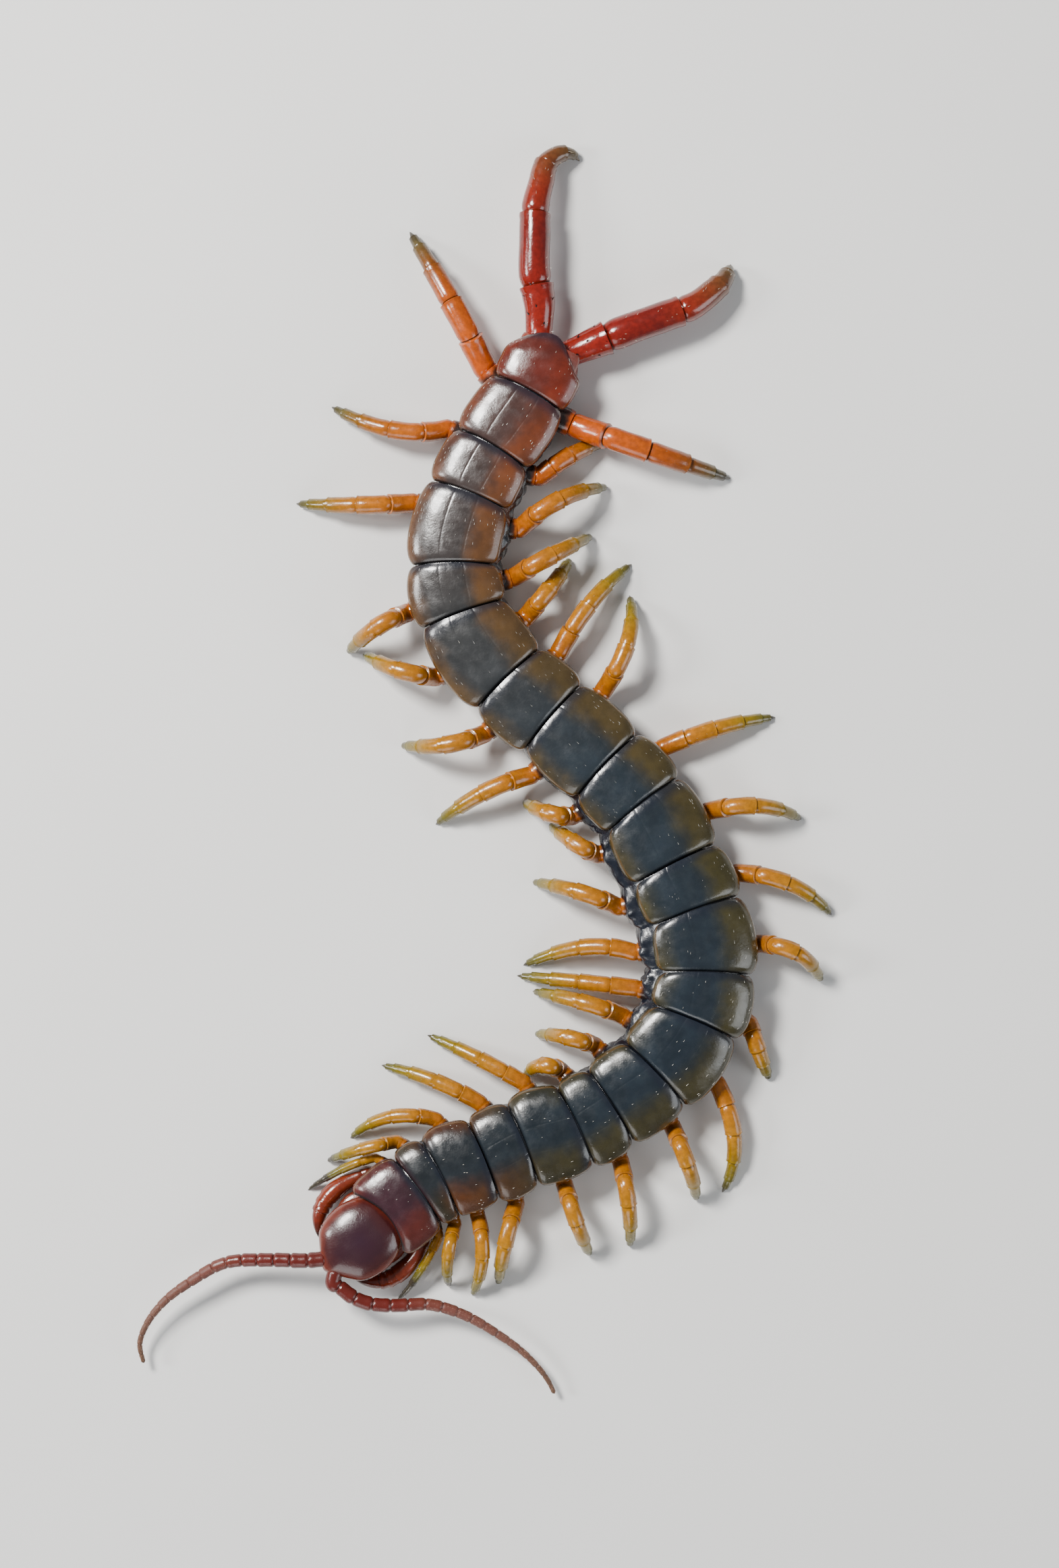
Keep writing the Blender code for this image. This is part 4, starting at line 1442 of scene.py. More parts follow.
@dataclass
class PoisonClaws:
    """The two poison claws and the broad plate that carries them under the head."""

    trunk: Trunk
    head: Head
    root_behind: float = 0.86
    root_height: float = 1.6
    gap: float = 0.3
    route: tuple[tuple[float, float, float], ...] = (
        (-3.3, 4.6, 1.5), (-1.2, 5.0, 1.6), (0.5, 4.8, 1.62), (1.6, 4.25, 1.6), (2.4, 3.5, 1.65),
        (2.9, 2.6, 1.6), (3.0, 1.8, 1.55),
    )
    joints: tuple[float, ...] = (0.0, 0.17, 0.56, 0.63, 0.7, 1.0)
    radii: tuple[float, ...] = (0.66, 0.74, 0.84, 0.8, 0.76, 0.7)
    fang_shape: tuple[tuple[float, ...], ...] = (
        (0.0, 0.08, 0.25, 0.5, 0.75, 0.92, 1.0),
        (0.5, 0.72, 0.66, 0.46, 0.27, 0.12, 0.02),
    )
    teeth: int = 4

    def build(self, finish: Material) -> None:
        """Builds both claws and their shared plate.

        Args:
            finish: Their material.
        """
        trunk = self.trunk
        for side in Side:
            sign = side.value
            along = trunk.borders[0] + self.root_behind
            root = trunk.world(along, sign * (trunk.flank(along, sign) - 0.7), self.root_height)[0]
            elbow = trunk.world(along, sign * (trunk.flank(along, sign) + self.gap), self.root_height)[0]
            points = [self.head.point(a, sign * u, z)[0] for a, u, z in self.route]
            path = Route([root, elbow, *points])
            limb = Limb(path.point(np.linspace(0, path.at[-1], 80)))
            forge = Forge("reach", "joint", "warmth")
            tube = JointedTube(sides=26, rings=24, tuck=0.2, waist=0.9, swell=0.1)
            for start, end, first, last in zip(self.joints, self.joints[1:-1], self.radii, self.radii[1:]):
                tube.add(forge, limb, Article(start, end, first, last, 0.04), 1.0, warmth=0.5)
            self.fang(forge, limb)
            name = side.name.lower()
            forge.settle(f"poison_fang_{name}", finish, [f"poison_claw_{name}"])
        forge = Forge("reach", "joint", "warmth")
        self.carrier(forge)
        forge.settle("claw_carrier", finish)

    def fang(self, forge: Forge, limb: Limb) -> None:
        """Adds the hooked fang.

        Args:
            forge: The claw.
            limb: Its line.
        """
        start = self.joints[-2]

        def place(turn: Array, share: Array) -> Placed:
            """Places the fang's rings.

            Args:
                turn: Turns round it.
                share: Shares of its length.

            Returns:
                The places and the tags.
            """
            at = start - 0.03 + (1.03 - start) * share
            wide = np.interp(share, *self.fang_shape)
            tags = {"reach": 0.7 + 0.3 * share, "joint": share * 0.8, "warmth": 0.5}
            return limb.skin(turn, at, wide), tags

        forge.tube(20, 22, place)

    def carrier(self, forge: Forge) -> None:
        """Adds the broad plate under the head, with its row of teeth in front.

        Args:
            forge: The piece that it goes into.
        """

        def place(turn: Array, share: Array) -> Placed:
            """Places the plate's rings, from under its middle round its edge to its top.

            Args:
                turn: Turns round it.
                share: Shares of its length.

            Returns:
                The places and the tags.
            """
            out = np.maximum(np.sin(share * math.pi) ** 0.6, 0.01)
            height = 1.75 - 0.62 * np.cos(share * math.pi)
            ahead = np.where(np.cos(turn) > 0, 2.6, 3.6) * np.cos(turn) * out - 0.8
            left = 3.9 * np.sin(turn) * out * (1 - 0.16 * np.cos(turn))
            return self.head.point(ahead, left, height), {"reach": 0.1, "joint": 0.5, "warmth": 0.5}

        forge.tube(48, 18, place)
        for side in Side:
            for tooth in range(self.teeth):
                left = side.value * (0.28 + 0.3 * tooth)
                base = self.head.point(1.7 - 0.08 * tooth, left, 1.5)[0]
                tip = self.head.point(2.25 - 0.12 * tooth, left, 1.45)[0]
                forge.spine(base, tip, 0.16, sides=8, reach=1.0, joint=0.5, warmth=0.5)


@dataclass
class Feelers:
    """The two jointed feelers: a few shining lengths at the root, then fine-haired ones."""

    head: Head
    radius: float = 0.76
    tip_radius: float = 0.2
    waist_at: float = 0.35
    waist: float = 0.82
    neck: float = 0.7
    root_side: float = 1.0
    root_height: float = 3.83
    gap: float = 0.3
    lengths: int = 18
    smooth_lengths: int = 6
    rings: int = 14
    hairs: int = 900
    routes: dict[Side, tuple] = field(
        default_factory=lambda: {
            Side.RIGHT: (
                (-24.5, -45.3, 3.6), (-29.3, -45.7, 3.3), (-32.1, -47.3, 3.0), (-34.9, -49.4, 2.6),
                (-36.8, -52.0, 2.1), (-37.3, -53.5, 1.8), (-36.9, -55.4, 1.5),
            ),
            Side.LEFT: (
                (-18.4, -47.7, 3.75), (-17.1, -48.7, 3.7), (-15.6, -49.4, 3.5), (-12.8, -49.7, 3.2),
                (-9.7, -49.6, 2.9), (-6.4, -50.6, 2.5), (-3.1, -52.5, 2.1), (-0.1, -54.8, 1.7),
                (1.9, -57.3, 1.3), (2.4, -58.4, 1.1),
            ),
        }
    )

    def limb(self, side: Side) -> Limb:
        """A feeler's centreline, as the solid has it.

        Args:
            side: Its side.

        Returns:
            The line.
        """
        head, turn = self.head, side.value * self.head.face_turn
        ahead = (head.face_reach - self.root_side * math.sin(head.face_turn)) / math.cos(head.face_turn)
        face = head.point(ahead, side.value * self.root_side, self.root_height)[0]
        out = (head.point(math.cos(turn), math.sin(turn), 0.0) - head.point(0.0, 0.0, 0.0))[0]
        root = face + self.gap * out
        route = Route([root - 0.8 * out, root, root + self.neck * out, *self.routes[side]])
        return Limb(route.point(np.linspace(0, route.at[-1], 160))).eased(14)

    def build(self, finish: Material, hair: Material) -> None:
        """Builds both feelers, and the hairs on their outer lengths.

        Args:
            finish: The feelers' material.
            hair: The hairs' material.
        """
        for side in Side:
            limb = self.limb(side)
            edges = np.cumsum([0.0] + [1.12 - 0.03 * k for k in range(self.lengths)])
            edges = edges / edges[-1]

            def radius(share: Array) -> Array:
                """The feeler's even radius at shares of its length."""
                sizes = [self.radius, self.waist * self.radius, self.tip_radius]
                return np.interp(share, [0.0, self.waist_at, 1.0], sizes)

            def place(
                turn: Array, share: Array, limb: Limb = limb, edges: Array = edges
            ) -> Placed:
                """Places the feeler's rings.

                Args:
                    turn: Turns round it.
                    share: Shares of its length.
                    limb: The line that it follows.
                    edges: Where its jointed lengths meet, as shares.

                Returns:
                    The places and the tags.
                """
                piece = np.clip(np.searchsorted(edges, share, side="right") - 1, 0, self.lengths - 1)
                phase = (share - edges[piece]) / (edges[piece + 1] - edges[piece])
                shape = 1 - 0.2 * hump(phase, 0.0, 0.07) - 0.16 * hump(phase, 1.0, 0.06)
                shape = shape + 0.05 * hump(phase, 0.8, 0.18)
                shape = shape * np.where(share > 0.99, 1 - ((share - 0.99) / 0.01) ** 2 * 0.93, 1.0)
                tags = {"reach": share, "joint": phase, "order": piece.astype(float)}
                return limb.skin(turn, share, radius(share) * shape), tags

            forge = Forge("reach", "joint", "order")
            forge.tube(24, self.lengths * self.rings, place)
            name = side.name.lower()
            forge.settle(f"feeler_{name}", finish, [f"antenna_{name}"])
            hairs = Forge()
            draw = random.Random(500 + side.value)
            for _ in range(self.hairs):
                share = draw.uniform(edges[self.smooth_lengths], 0.995)
                turn = draw.uniform(0, 2 * math.pi)
                wide = float(radius(np.array(share)))
                step = draw.uniform(0.002, 0.006)
                hair_ends = limb.quill(turn, share, step, wide * 0.96, wide + draw.uniform(0.07, 0.13))
                hairs.spine(*hair_ends, 0.01)
            hairs.settle(f"feeler_hairs_{name}", hair)


@dataclass
class Bristles:
    """The fine bristles scattered over the back plates, near white: partly their own pale colour, partly
    painted glints.
    """

    plates: BackPlates
    radius: float = 0.022
    edge_share: float = 0.65
    counts: dict[Slot, int] = field(default_factory=lambda: {Slot.FRONT: 18, Slot.MIDDLE: 26, Slot.REAR: 34})

    def build(self, finish: Material) -> None:
        """Builds all bristles as one piece.

        Args:
            finish: Their material.
        """
        forge = Forge()
        draw = random.Random(11)
        for index in range(1, COUNT + 1):
            for _ in range(self.counts[zone(index)]):
                reach = (0.7, 0.97) if draw.random() < self.edge_share else (0.0, 0.7)
                across = draw.choice((-1, 1)) * draw.uniform(*reach)
                share = draw.uniform(0.12, 0.93)
                spot = np.array([across]), np.array([share])
                base = self.plates.surface(index, *spot, -0.03)[0]
                lift = draw.uniform(0.1, 0.2)
                tip = self.plates.surface(index, spot[0], spot[1] + draw.uniform(0.02, 0.05), lift)[0]
                forge.spine(base, tip, self.radius)
        forge.settle("back_bristles", finish)


class Mixer:
    """A material's node tree, with short calls for the nodes that the finishes share."""

    def __init__(self, name: str) -> None:
        """Starts a material.

        Args:
            name: Its name.
        """
        self.material = bpy.data.materials.new(name)
        self.material.use_nodes = True
        self.tree = self.material.node_tree
        self.shader = self.tree.nodes["Principled BSDF"]
        self.space = self.tree.nodes.new("ShaderNodeTexCoord").outputs["Object"]

    def feed(self, socket: Socket, value: object) -> None:
        """Links or sets an input.

        Args:
            socket: The input.
            value: A socket to link, or a value to set.
        """
        if isinstance(value, Socket):
            self.tree.links.new(value, socket)
        else:
            socket.default_value = value

    def tag(self, name: str) -> Socket:
        """Reads a value that the piece's vertices carry.

        Args:
            name: The value's name.

        Returns:
            The value.
        """
        node = self.tree.nodes.new("ShaderNodeAttribute")
        node.attribute_name = name
        return node.outputs["Fac"]

    def noise(self, scale: float, detail: float = 4.0, rough: float = 0.55) -> Socket:
        """Noise in the piece's own space.

        Args:
            scale: How many grains fit in a millimetre.
            detail: How many finer layers it has.
            rough: How strong they are.

        Returns:
            A value round 0.5.
        """
        node = self.tree.nodes.new("ShaderNodeTexNoise")
        self.feed(node.inputs["Vector"], self.space)
        node.inputs["Scale"].default_value = scale / MM
        node.inputs["Detail"].default_value = detail
        node.inputs["Roughness"].default_value = rough
        return node.outputs["Fac"]

    def sum(self, operation: str, *values: object) -> Socket:
        """A Math node.

        Args:
            operation: Its operation.
            *values: Its inputs.

        Returns:
            Its result.
        """
        node = self.tree.nodes.new("ShaderNodeMath")
        node.operation = operation
        for socket, value in zip(node.inputs, values):
            self.feed(socket, value)
        return node.outputs[0]

    def span(self, value: object, low: float, high: float, start: float = 0.0, end: float = 1.0) -> Socket:
        """Maps a range smoothly onto another.

        Args:
            value: What is read.
            low: Where its range starts.
            high: Where it ends.
            start: The result at the low end.
            end: The result at the high end.

        Returns:
            The mapped value.
        """
        node = self.tree.nodes.new("ShaderNodeMapRange")
        node.interpolation_type = "SMOOTHSTEP"
        names = ("Value", "From Min", "From Max", "To Min", "To Max")
        for name, number in zip(names, (value, low, high, start, end)):
            self.feed(node.inputs[name], number)
        return node.outputs[0]

    def ramp(self, value: object, stops: Stops) -> Socket:
        """A colour ramp.

        Args:
            value: What is read, from 0 to 1.
            stops: Places and colours.

        Returns:
            The colour.
        """
        node = self.tree.nodes.new("ShaderNodeValToRGB")
        self.feed(node.inputs[0], value)
        elements = node.color_ramp.elements
        while len(elements) < len(stops):
            elements.new(0.5)
        for element, (place, colour) in zip(elements, stops):
            element.position = place
            element.color = (*colour, 1.0)
        return node.outputs[0]

    def mix(self, share: object, first: object, second: object, blend: str = "MIX") -> Socket:
        """Mixes two colours.

        Args:
            share: How much of the second there is.
            first: A colour or a socket.
            second: A colour or a socket.
            blend: The way they mix.

        Returns:
            The mixed colour.
        """
        node = self.tree.nodes.new("ShaderNodeMix")
        node.data_type = "RGBA"
        node.blend_type = blend
        self.feed(node.inputs[0], share)
        for socket, colour in ((node.inputs[6], first), (node.inputs[7], second)):
            self.feed(socket, (*colour, 1.0) if isinstance(colour, tuple) else colour)
        return node.outputs[2]

    def mottle(self, colour: Socket, cloud: Socket, most: float) -> Socket:
        """Darkens and lightens a colour by a cloud.

        Args:
            colour: The colour.
            cloud: A value round 0.5.
            most: What the colour is multiplied by where the cloud is thickest.

        Returns:
            The uneven colour.
        """
        shade = self.span(cloud, 0.3, 0.75, 0.8, most)
        tone = self.tree.nodes.new("ShaderNodeCombineColor")
        for socket in tone.inputs:
            self.feed(socket, shade)
        return self.mix(1.0, colour, tone.outputs[0], "MULTIPLY")

    def bump(self, height: Socket, depth: float, strength: float = 1.0) -> None:
        """Presses a height into the surface.

        Args:
            height: The height, round 0.5.
            depth: How deep it goes, in millimetres.
            strength: How strongly it shows.
        """
        node = self.tree.nodes.new("ShaderNodeBump")
        node.inputs["Strength"].default_value = strength
        node.inputs["Distance"].default_value = depth * MM
        self.feed(node.inputs["Height"], height)
        self.tree.links.new(node.outputs[0], self.shader.inputs["Normal"])

    def set(self, **inputs: object) -> Material:
        """Sets or links the shader's inputs.

        Args:
            **inputs: The inputs, with underscores for the spaces in their names.

        Returns:
            The finished material.
        """
        for name, value in inputs.items():
            self.feed(self.shader.inputs[name.replace("_", " ").title().replace("Ior", "IOR")], value)
        return self.material


@dataclass(frozen=True)
class PlateFinish:
    """The horny back plates: slate in the middle, warm at the sides, coppery towards the tail, with painted
    shade and highlight.
    """

    name: str = "back_plate_horn"
    middles: Stops = (
        (0.0, (0.034, 0.01, 0.016)), (0.045, (0.026, 0.01, 0.014)), (0.06, (0.012, 0.015, 0.018)),
        (0.2, (0.01, 0.015, 0.02)), (0.36, (0.012, 0.019, 0.027)), (0.62, (0.016, 0.023, 0.03)),
        (0.76, (0.03, 0.03, 0.03)), (0.88, (0.04, 0.027, 0.024)), (0.945, (0.05, 0.022, 0.018)),
        (0.96, (0.085, 0.014, 0.009)),
    )
    sides: Stops = (
        (0.0, (0.07, 0.012, 0.009)), (0.045, (0.06, 0.012, 0.009)), (0.06, (0.024, 0.02, 0.01)),
        (0.11, (0.07, 0.022, 0.006)), (0.2, (0.03, 0.025, 0.01)), (0.5, (0.04, 0.033, 0.01)),
        (0.7, (0.06, 0.038, 0.014)), (0.84, (0.1, 0.04, 0.014)), (0.945, (0.13, 0.028, 0.01)),
        (0.96, (0.13, 0.016, 0.006)),
    )

    def make(self) -> Material:
        """Makes the material.

        Returns:
            The finished material.
        """
        mixer = Mixer(self.name)
        place = mixer.sum("DIVIDE", mixer.tag("station"), float(COUNT))
        share, across = mixer.tag("share"), mixer.tag("across")
        cloud, grain = mixer.noise(0.45, 5.0), mixer.noise(5.0, 3.0)
        # The warm sides are the plates' own colour, but they are shifted to the plates' left, so the slate
        # middle reaches further out on the right: that one-sided slate is a painted reflection.
        sheen_shifted_across = mixer.sum("ADD", across, 0.22)
        far = mixer.sum("ADD", mixer.sum("ABSOLUTE", sheen_shifted_across), mixer.sum("MULTIPLY", cloud, 0.5))
        middle, side = mixer.ramp(place, self.middles), mixer.ramp(place, self.sides)
        colour = mixer.mix(mixer.span(far, 0.55, 1.12), middle, side)
        colour = mixer.mottle(colour, cloud, 1.25)
        band = mixer.span(share, 0.8, 0.97)
        colour = mixer.mix(mixer.sum("MULTIPLY", band, 0.75), colour, (0.008, 0.011, 0.02))
        # Painted shade: the front edge of each plate, where it dips into the groove under the plate ahead, is
        # painted near black.
        edge = mixer.span(share, 0.05, 0.0)
        colour = mixer.mix(edge, colour, (0.004, 0.004, 0.005))
        # The raised side rim is painted a lighter gold: partly the rim's own colour, partly a painted
        # highlight along it.
        from_rim = mixer.sum("SUBTRACT", mixer.sum("ABSOLUTE", across), RIM_PLACE)
        rim = mixer.span(mixer.sum("ABSOLUTE", from_rim), 0.02, 0.006)
        colour = mixer.mix(mixer.sum("MULTIPLY", rim, 0.4), colour, (0.13, 0.065, 0.018))
        mixer.bump(mixer.sum("ADD", mixer.sum("MULTIPLY", grain, 0.5), mixer.noise(1.4, 5.0)), 0.035, 0.6)
        rough = mixer.span(mixer.noise(1.1, 4.0), 0.3, 0.75, 0.2, 0.36)
        return mixer.set(
            base_color=colour, roughness=rough, specular_ior_level=0.6, coat_weight=0.35, coat_roughness=0.12
        )


@dataclass(frozen=True)
class SkinFinish:
    """The soft blue-black skin of the flanks."""

    name: str = "flank_skin"

    def make(self) -> Material:
        """Makes the material.

        Returns:
            The finished material.
        """
        mixer = Mixer(self.name)
        cloud = mixer.noise(0.9, 6.0)
        colour = mixer.ramp(
            cloud, [(0.3, (0.003, 0.004, 0.008)), (0.55, (0.007, 0.01, 0.018)), (0.75, (0.02, 0.022, 0.024))]
        )
        below = mixer.span(mixer.tag("level"), 1.6, 1.0)
        colour = mixer.mix(below, colour, (0.09, 0.075, 0.045))
        tail = mixer.span(mixer.tag("station"), 20.05, 20.45)
        colour = mixer.mix(tail, colour, (0.2, 0.025, 0.01))
        mixer.bump(mixer.sum("ADD", mixer.noise(3.0, 6.0), mixer.noise(9.0, 3.0)), 0.03, 0.7)
        rough = mixer.span(cloud, 0.3, 0.7, 0.16, 0.3)
        return mixer.set(
            base_color=colour, roughness=rough, specular_ior_level=0.6, coat_weight=0.4, coat_roughness=0.1
        )


@dataclass(frozen=True)
class BellyFinish:
    """The pale olive horn of the belly plates."""

    name: str = "belly_horn"

    def make(self) -> Material:
        """Makes the material.

        Returns:
            The finished material.
        """
        mixer = Mixer(self.name)
        cloud = mixer.noise(0.6, 5.0)
        colour = mixer.ramp(cloud, [(0.3, (0.1, 0.09, 0.055)), (0.7, (0.2, 0.16, 0.09))])
        mixer.bump(mixer.noise(4.0, 4.0), 0.03, 0.6)
        return mixer.set(base_color=colour, roughness=mixer.span(cloud, 0.3, 0.7, 0.3, 0.42))


@dataclass(frozen=True)
class LimbFinish:
    """A leg's shell, whose colour runs from its root to its tip and darkens at each joint."""

    name: str
    cool: Stops
    warm: Stops
    joint_colour: Colour = (0.03, 0.012, 0.006)
    roughness: tuple[float, float] = (0.18, 0.3)
    subsurface: float = 0.05

    def make(self) -> Material:
        """Makes the material.

        Returns:
            The finished material.
        """
        mixer = Mixer(self.name)
        reach, joint, warmth = mixer.tag("reach"), mixer.tag("joint"), mixer.tag("warmth")
        cloud = mixer.noise(0.8, 5.0)
        wander = mixer.sum("ADD", reach, mixer.sum("MULTIPLY", mixer.sum("SUBTRACT", cloud, 0.5), 0.08))
        colour = mixer.mix(warmth, mixer.ramp(wander, self.cool), mixer.ramp(wander, self.warm))
        colour = mixer.mottle(colour, mixer.noise(2.2, 4.0), 1.2)
        ring = mixer.sum("MAXIMUM", mixer.span(joint, 0.972, 0.99), mixer.span(joint, 0.05, 0.015))
        colour = mixer.mix(mixer.sum("MULTIPLY", ring, 0.85), colour, self.joint_colour)
        hair = mixer.span(reach, 1.4, 1.6)
        colour = mixer.mix(hair, colour, (0.75, 0.66, 0.5))
        spine = mixer.span(reach, 2.4, 2.6)
        colour = mixer.mix(spine, colour, (0.012, 0.006, 0.006))
        mixer.bump(mixer.sum("ADD", mixer.noise(6.0, 4.0), mixer.noise(1.5, 4.0)), 0.02, 0.6)
        rough = mixer.span(cloud, 0.3, 0.7, *self.roughness)
        return mixer.set(
            base_color=colour,
            roughness=rough,
            specular_ior_level=0.6,
            coat_weight=0.3,
            coat_roughness=0.1,
            subsurface_weight=self.subsurface,
            subsurface_radius=(0.0008, 0.0003, 0.0001),
        )


WALKING_FINISH = LimbFinish(
    "walking_leg_shell",
    cool=(
        (0.0, (0.02, 0.014, 0.012)), (0.02, (0.05, 0.015, 0.005)), (0.045, (0.33, 0.095, 0.0015)),
        (0.3, (0.37, 0.135, 0.0008)), (0.55, (0.34, 0.15, 0.0008)), (0.74, (0.22, 0.145, 0.002)),
        (0.88, (0.12, 0.105, 0.01)), (0.95, (0.085, 0.075, 0.022)), (0.97, (0.04, 0.032, 0.02)),
    ),
    warm=(
        (0.0, (0.025, 0.014, 0.012)), (0.02, (0.06, 0.015, 0.006)), (0.045, (0.42, 0.065, 0.002)),
        (0.3, (0.42, 0.07, 0.002)), (0.6, (0.3, 0.06, 0.003)), (0.76, (0.15, 0.05, 0.006)),
        (0.88, (0.09, 0.065, 0.02)), (0.96, (0.04, 0.032, 0.022)),
    ),
)
HIND_FINISH = LimbFinish(
    "hind_leg_shell",
    cool=((0.0, (0.2, 0.02, 0.01)), (1.0, (0.1, 0.05, 0.02))),
    warm=(
        (0.0, (0.24, 0.014, 0.006)), (0.25, (0.19, 0.01, 0.005)), (0.5, (0.13, 0.008, 0.005)),
        (0.66, (0.2, 0.016, 0.005)), (0.82, (0.13, 0.035, 0.01)), (0.95, (0.07, 0.045, 0.014)),
    ),
    roughness=(0.12, 0.22),
)
CLAW_STOPS = (
    (0.0, (0.12, 0.018, 0.008)), (0.55, (0.2, 0.028, 0.009)), (0.8, (0.14, 0.017, 0.007)),
    (0.93, (0.012, 0.007, 0.005)),
)
CLAW_FINISH = LimbFinish(
    "poison_claw_shell",
    cool=CLAW_STOPS,
    warm=CLAW_STOPS,
    roughness=(0.16, 0.26),
)


@dataclass(frozen=True)
class HeadFinish:
    """The head shield: dark purple brown, red at its margins."""

    name: str = "head_horn"

    def make(self) -> Material:
        """Makes the material.

        Returns:
            The finished material.
        """
        mixer = Mixer(self.name)
        cloud = mixer.noise(0.5, 5.0)
        wander = mixer.sum("MULTIPLY", mixer.sum("SUBTRACT", cloud, 0.5), 0.35)
        edge = mixer.sum("ADD", mixer.tag("rim"), wander)
        colour = mixer.ramp(
            edge,
            [
                (0.0, (0.03, 0.01, 0.019)), (0.5, (0.032, 0.009, 0.014)), (0.8, (0.05, 0.01, 0.01)),
                (0.97, (0.14, 0.02, 0.008)),
            ],
        )
        mixer.bump(mixer.sum("ADD", mixer.noise(1.6, 5.0), mixer.noise(6.0, 3.0)), 0.03, 0.5)
        rough = mixer.span(cloud, 0.3, 0.7, 0.2, 0.32)
        return mixer.set(
            base_color=colour, roughness=rough, specular_ior_level=0.6, coat_weight=0.4, coat_roughness=0.12
        )


@dataclass(frozen=True)
class FeelerFinish:
    """The feelers: glossy dark red at the root, pinkish and dull further out."""

    name: str = "feeler_shell"

    def make(self) -> Material:
        """Makes the material.

        Returns:
            The finished material.
        """
        mixer = Mixer(self.name)
        order, joint = mixer.tag("order"), mixer.tag("joint")
        cloud = mixer.noise(1.2, 4.0)
        colour = mixer.ramp(
            mixer.tag("reach"),
            [
                (0.0, (0.09, 0.011, 0.008)), (0.3, (0.11, 0.014, 0.01)), (0.4, (0.13, 0.03, 0.02)),
                (0.75, (0.12, 0.045, 0.028)), (1.0, (0.09, 0.045, 0.022)),
            ],
        )
        ring = mixer.sum("MAXIMUM", mixer.span(joint, 0.93, 0.99), mixer.span(joint, 0.09, 0.02))
        colour = mixer.mix(mixer.sum("MULTIPLY", ring, 0.7), colour, (0.03, 0.006, 0.005))
        dull = mixer.span(order, 5.0, 7.0)
        rough = mixer.sum("ADD", mixer.sum("MULTIPLY", dull, 0.32), mixer.span(cloud, 0.3, 0.7, 0.2, 0.3))
        mixer.bump(mixer.sum("ADD", mixer.noise(9.0, 3.0), cloud), 0.02, 0.7)
        return mixer.set(base_color=colour, roughness=rough, specular_ior_level=0.55)


@dataclass(frozen=True)
class PlainFinish:
    """A fine detail's finish, with a light mottle."""

    name: str
    dark: Colour
    light: Colour
    roughness: float

    def make(self) -> Material:
        """Makes the material.

        Returns:
            The finished material.
        """
        mixer = Mixer(self.name)
        colour = mixer.ramp(mixer.noise(3.0, 3.0), [(0.35, self.dark), (0.65, self.light)])
        return mixer.set(base_color=colour, roughness=self.roughness)


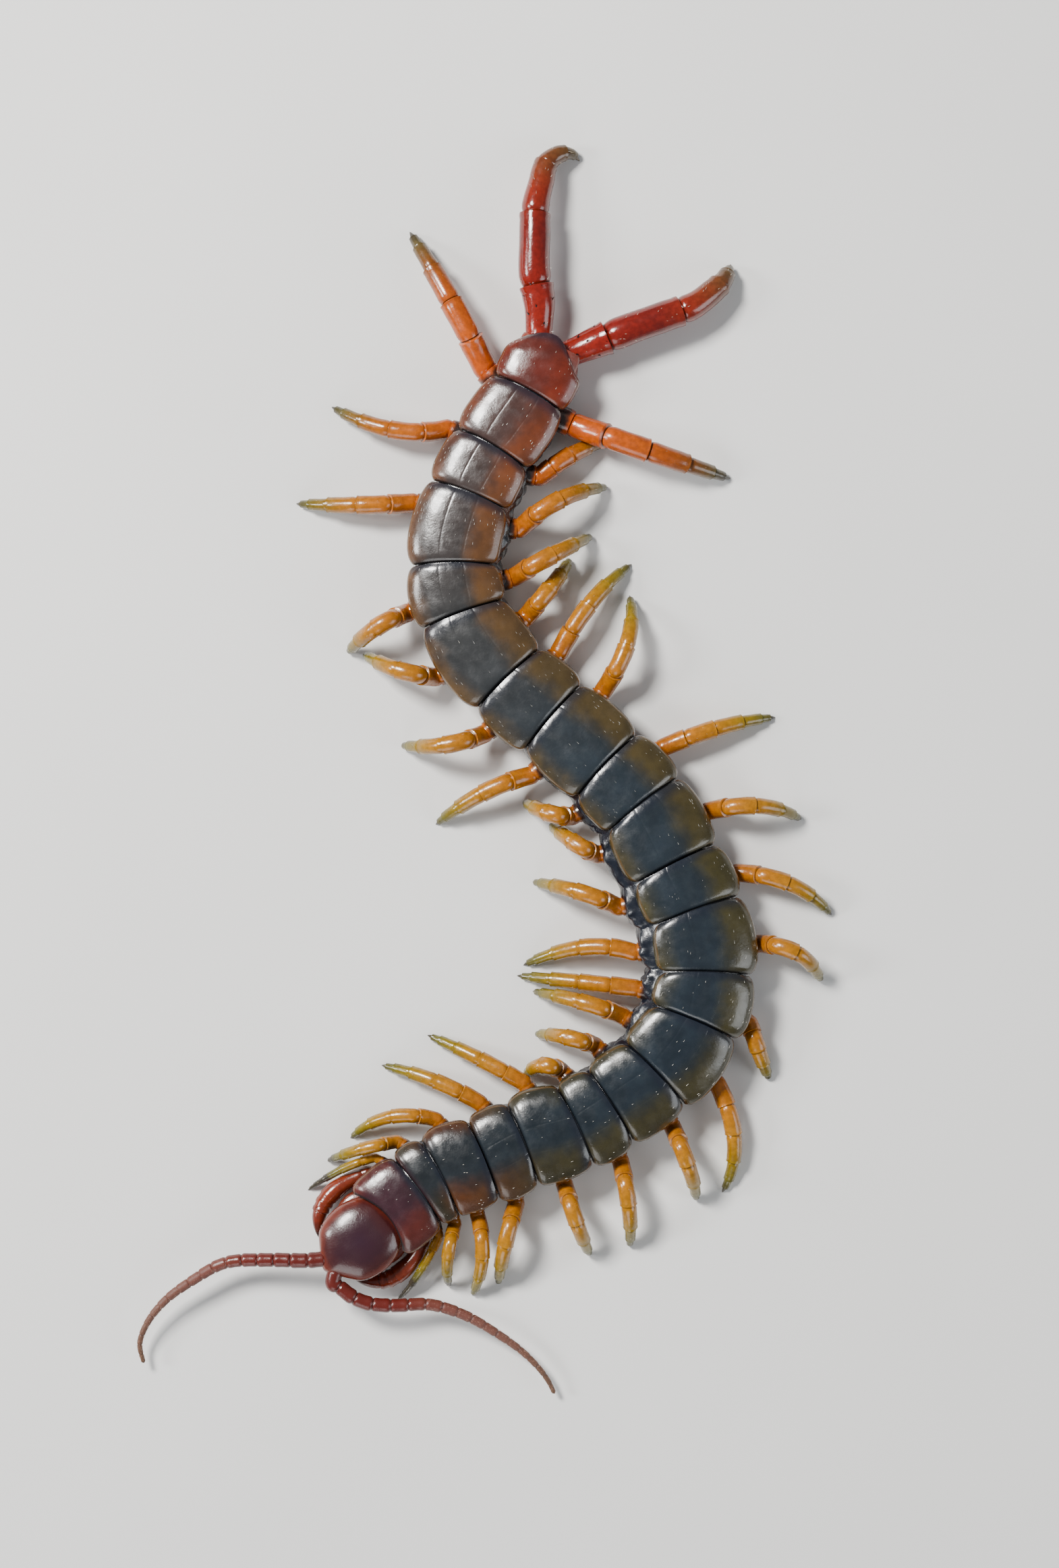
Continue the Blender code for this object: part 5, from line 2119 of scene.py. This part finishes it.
@dataclass
class Studio:
    """The pale floor, the soft lights and the camera straight above."""

    lens: float = 100.0
    sensor: float = 36.0
    camera_height: float = 418.2
    floor_size: float = 2400.0

    def floor(self) -> None:
        """Makes the floor that the animal stands on."""
        mesh = bmesh.new()
        bmesh.ops.create_grid(mesh, x_segments=8, y_segments=8, size=self.floor_size * MM / 2)
        data = bpy.data.meshes.new("studio_floor")
        mesh.to_mesh(data)
        mesh.free()
        mixer = Mixer("floor_paper")
        colour = mixer.ramp(mixer.noise(0.02, 3.0), [(0.3, (0.78, 0.775, 0.76)), (0.7, (0.82, 0.815, 0.8))])
        data.materials.append(mixer.set(base_color=colour, roughness=0.7))
        thing = bpy.data.objects.new("studio_floor", data)
        bpy.context.scene.collection.objects.link(thing)

    def light(self, name: str, place: Colour, size: float, power: float, colour: Colour) -> None:
        """Hangs one soft light that faces the model.

        Args:
            name: Its name.
            place: Where it hangs, in millimetres.
            size: Its side length in millimetres.
            power: Its power in watts.
            colour: Its colour.
        """
        data = bpy.data.lights.new(name, "AREA")
        data.shape = "SQUARE"
        data.size = size * MM
        data.energy = power
        data.color = colour
        lamp = bpy.data.objects.new(name, data)
        lamp.location = Vector(place) * MM
        lamp.rotation_euler = (-lamp.location).to_track_quat("-Z", "Y").to_euler()
        bpy.context.scene.collection.objects.link(lamp)

    def build(self) -> None:
        """Builds the whole studio."""
        self.floor()
        self.light("key_light", (-250.0, 210.0, 400.0), 120.0, 4.6, (1.0, 0.98, 0.95))
        self.light("left_light", (-480.0, 40.0, 300.0), 130.0, 1.6, (1.0, 1.0, 1.0))
        self.light("fill_light", (460.0, -160.0, 240.0), 300.0, 1.1, (0.92, 0.96, 1.0))
        self.light("low_light", (-120.0, -480.0, 220.0), 300.0, 0.8, (1.0, 1.0, 1.0))
        world = bpy.data.worlds.new("studio_air")
        world.use_nodes = True
        air = world.node_tree.nodes["Background"].inputs
        air["Color"].default_value, air["Strength"].default_value = (0.9, 0.95, 1.0, 1.0), 0.2
        bpy.context.scene.world = world
        camera = bpy.data.cameras.new("camera")
        camera.lens = self.lens
        camera.sensor_width = self.sensor
        camera.sensor_fit = "AUTO"
        camera.clip_start = 0.01
        camera.clip_end = 10.0
        viewer = bpy.data.objects.new("camera", camera)
        viewer.location = Vector((-GROUND_MIDDLE[0], -GROUND_MIDDLE[1], self.camera_height)) * MM
        bpy.context.scene.collection.objects.link(viewer)
        bpy.context.scene.camera = viewer


def main() -> None:
    """Builds the model, then the studio round it."""
    logging.basicConfig(level=logging.INFO, format="%(name)s %(message)s")
    trunk = Trunk()
    plates = BackPlates(trunk)
    plates.build(PlateFinish().make())
    Flanks(trunk, plates).build(SkinFinish().make())
    BellyPlates(trunk).build(BellyFinish().make())
    head = Head(trunk)
    bead = PlainFinish("eye_bead", (0.004, 0.004, 0.005), (0.01, 0.008, 0.01), 0.08)
    head.build(HeadFinish().make(), bead.make())
    PoisonClaws(trunk, head).build(CLAW_FINISH.make())
    hair = PlainFinish("feeler_hair", (0.35, 0.16, 0.1), (0.6, 0.36, 0.26), 0.5)
    Feelers(head).build(FeelerFinish().make(), hair.make())
    WalkingLegs(trunk).build(WALKING_FINISH.make())
    HindLegs(trunk).build(HIND_FINISH.make())
    # The bristles' near-white colour is partly their own and partly painted glint.
    Bristles(plates).build(PlainFinish("bristle", (0.6, 0.56, 0.48), (0.85, 0.82, 0.76), 0.3).make())
    Studio().build()


if __name__ == "__main__":
    main()
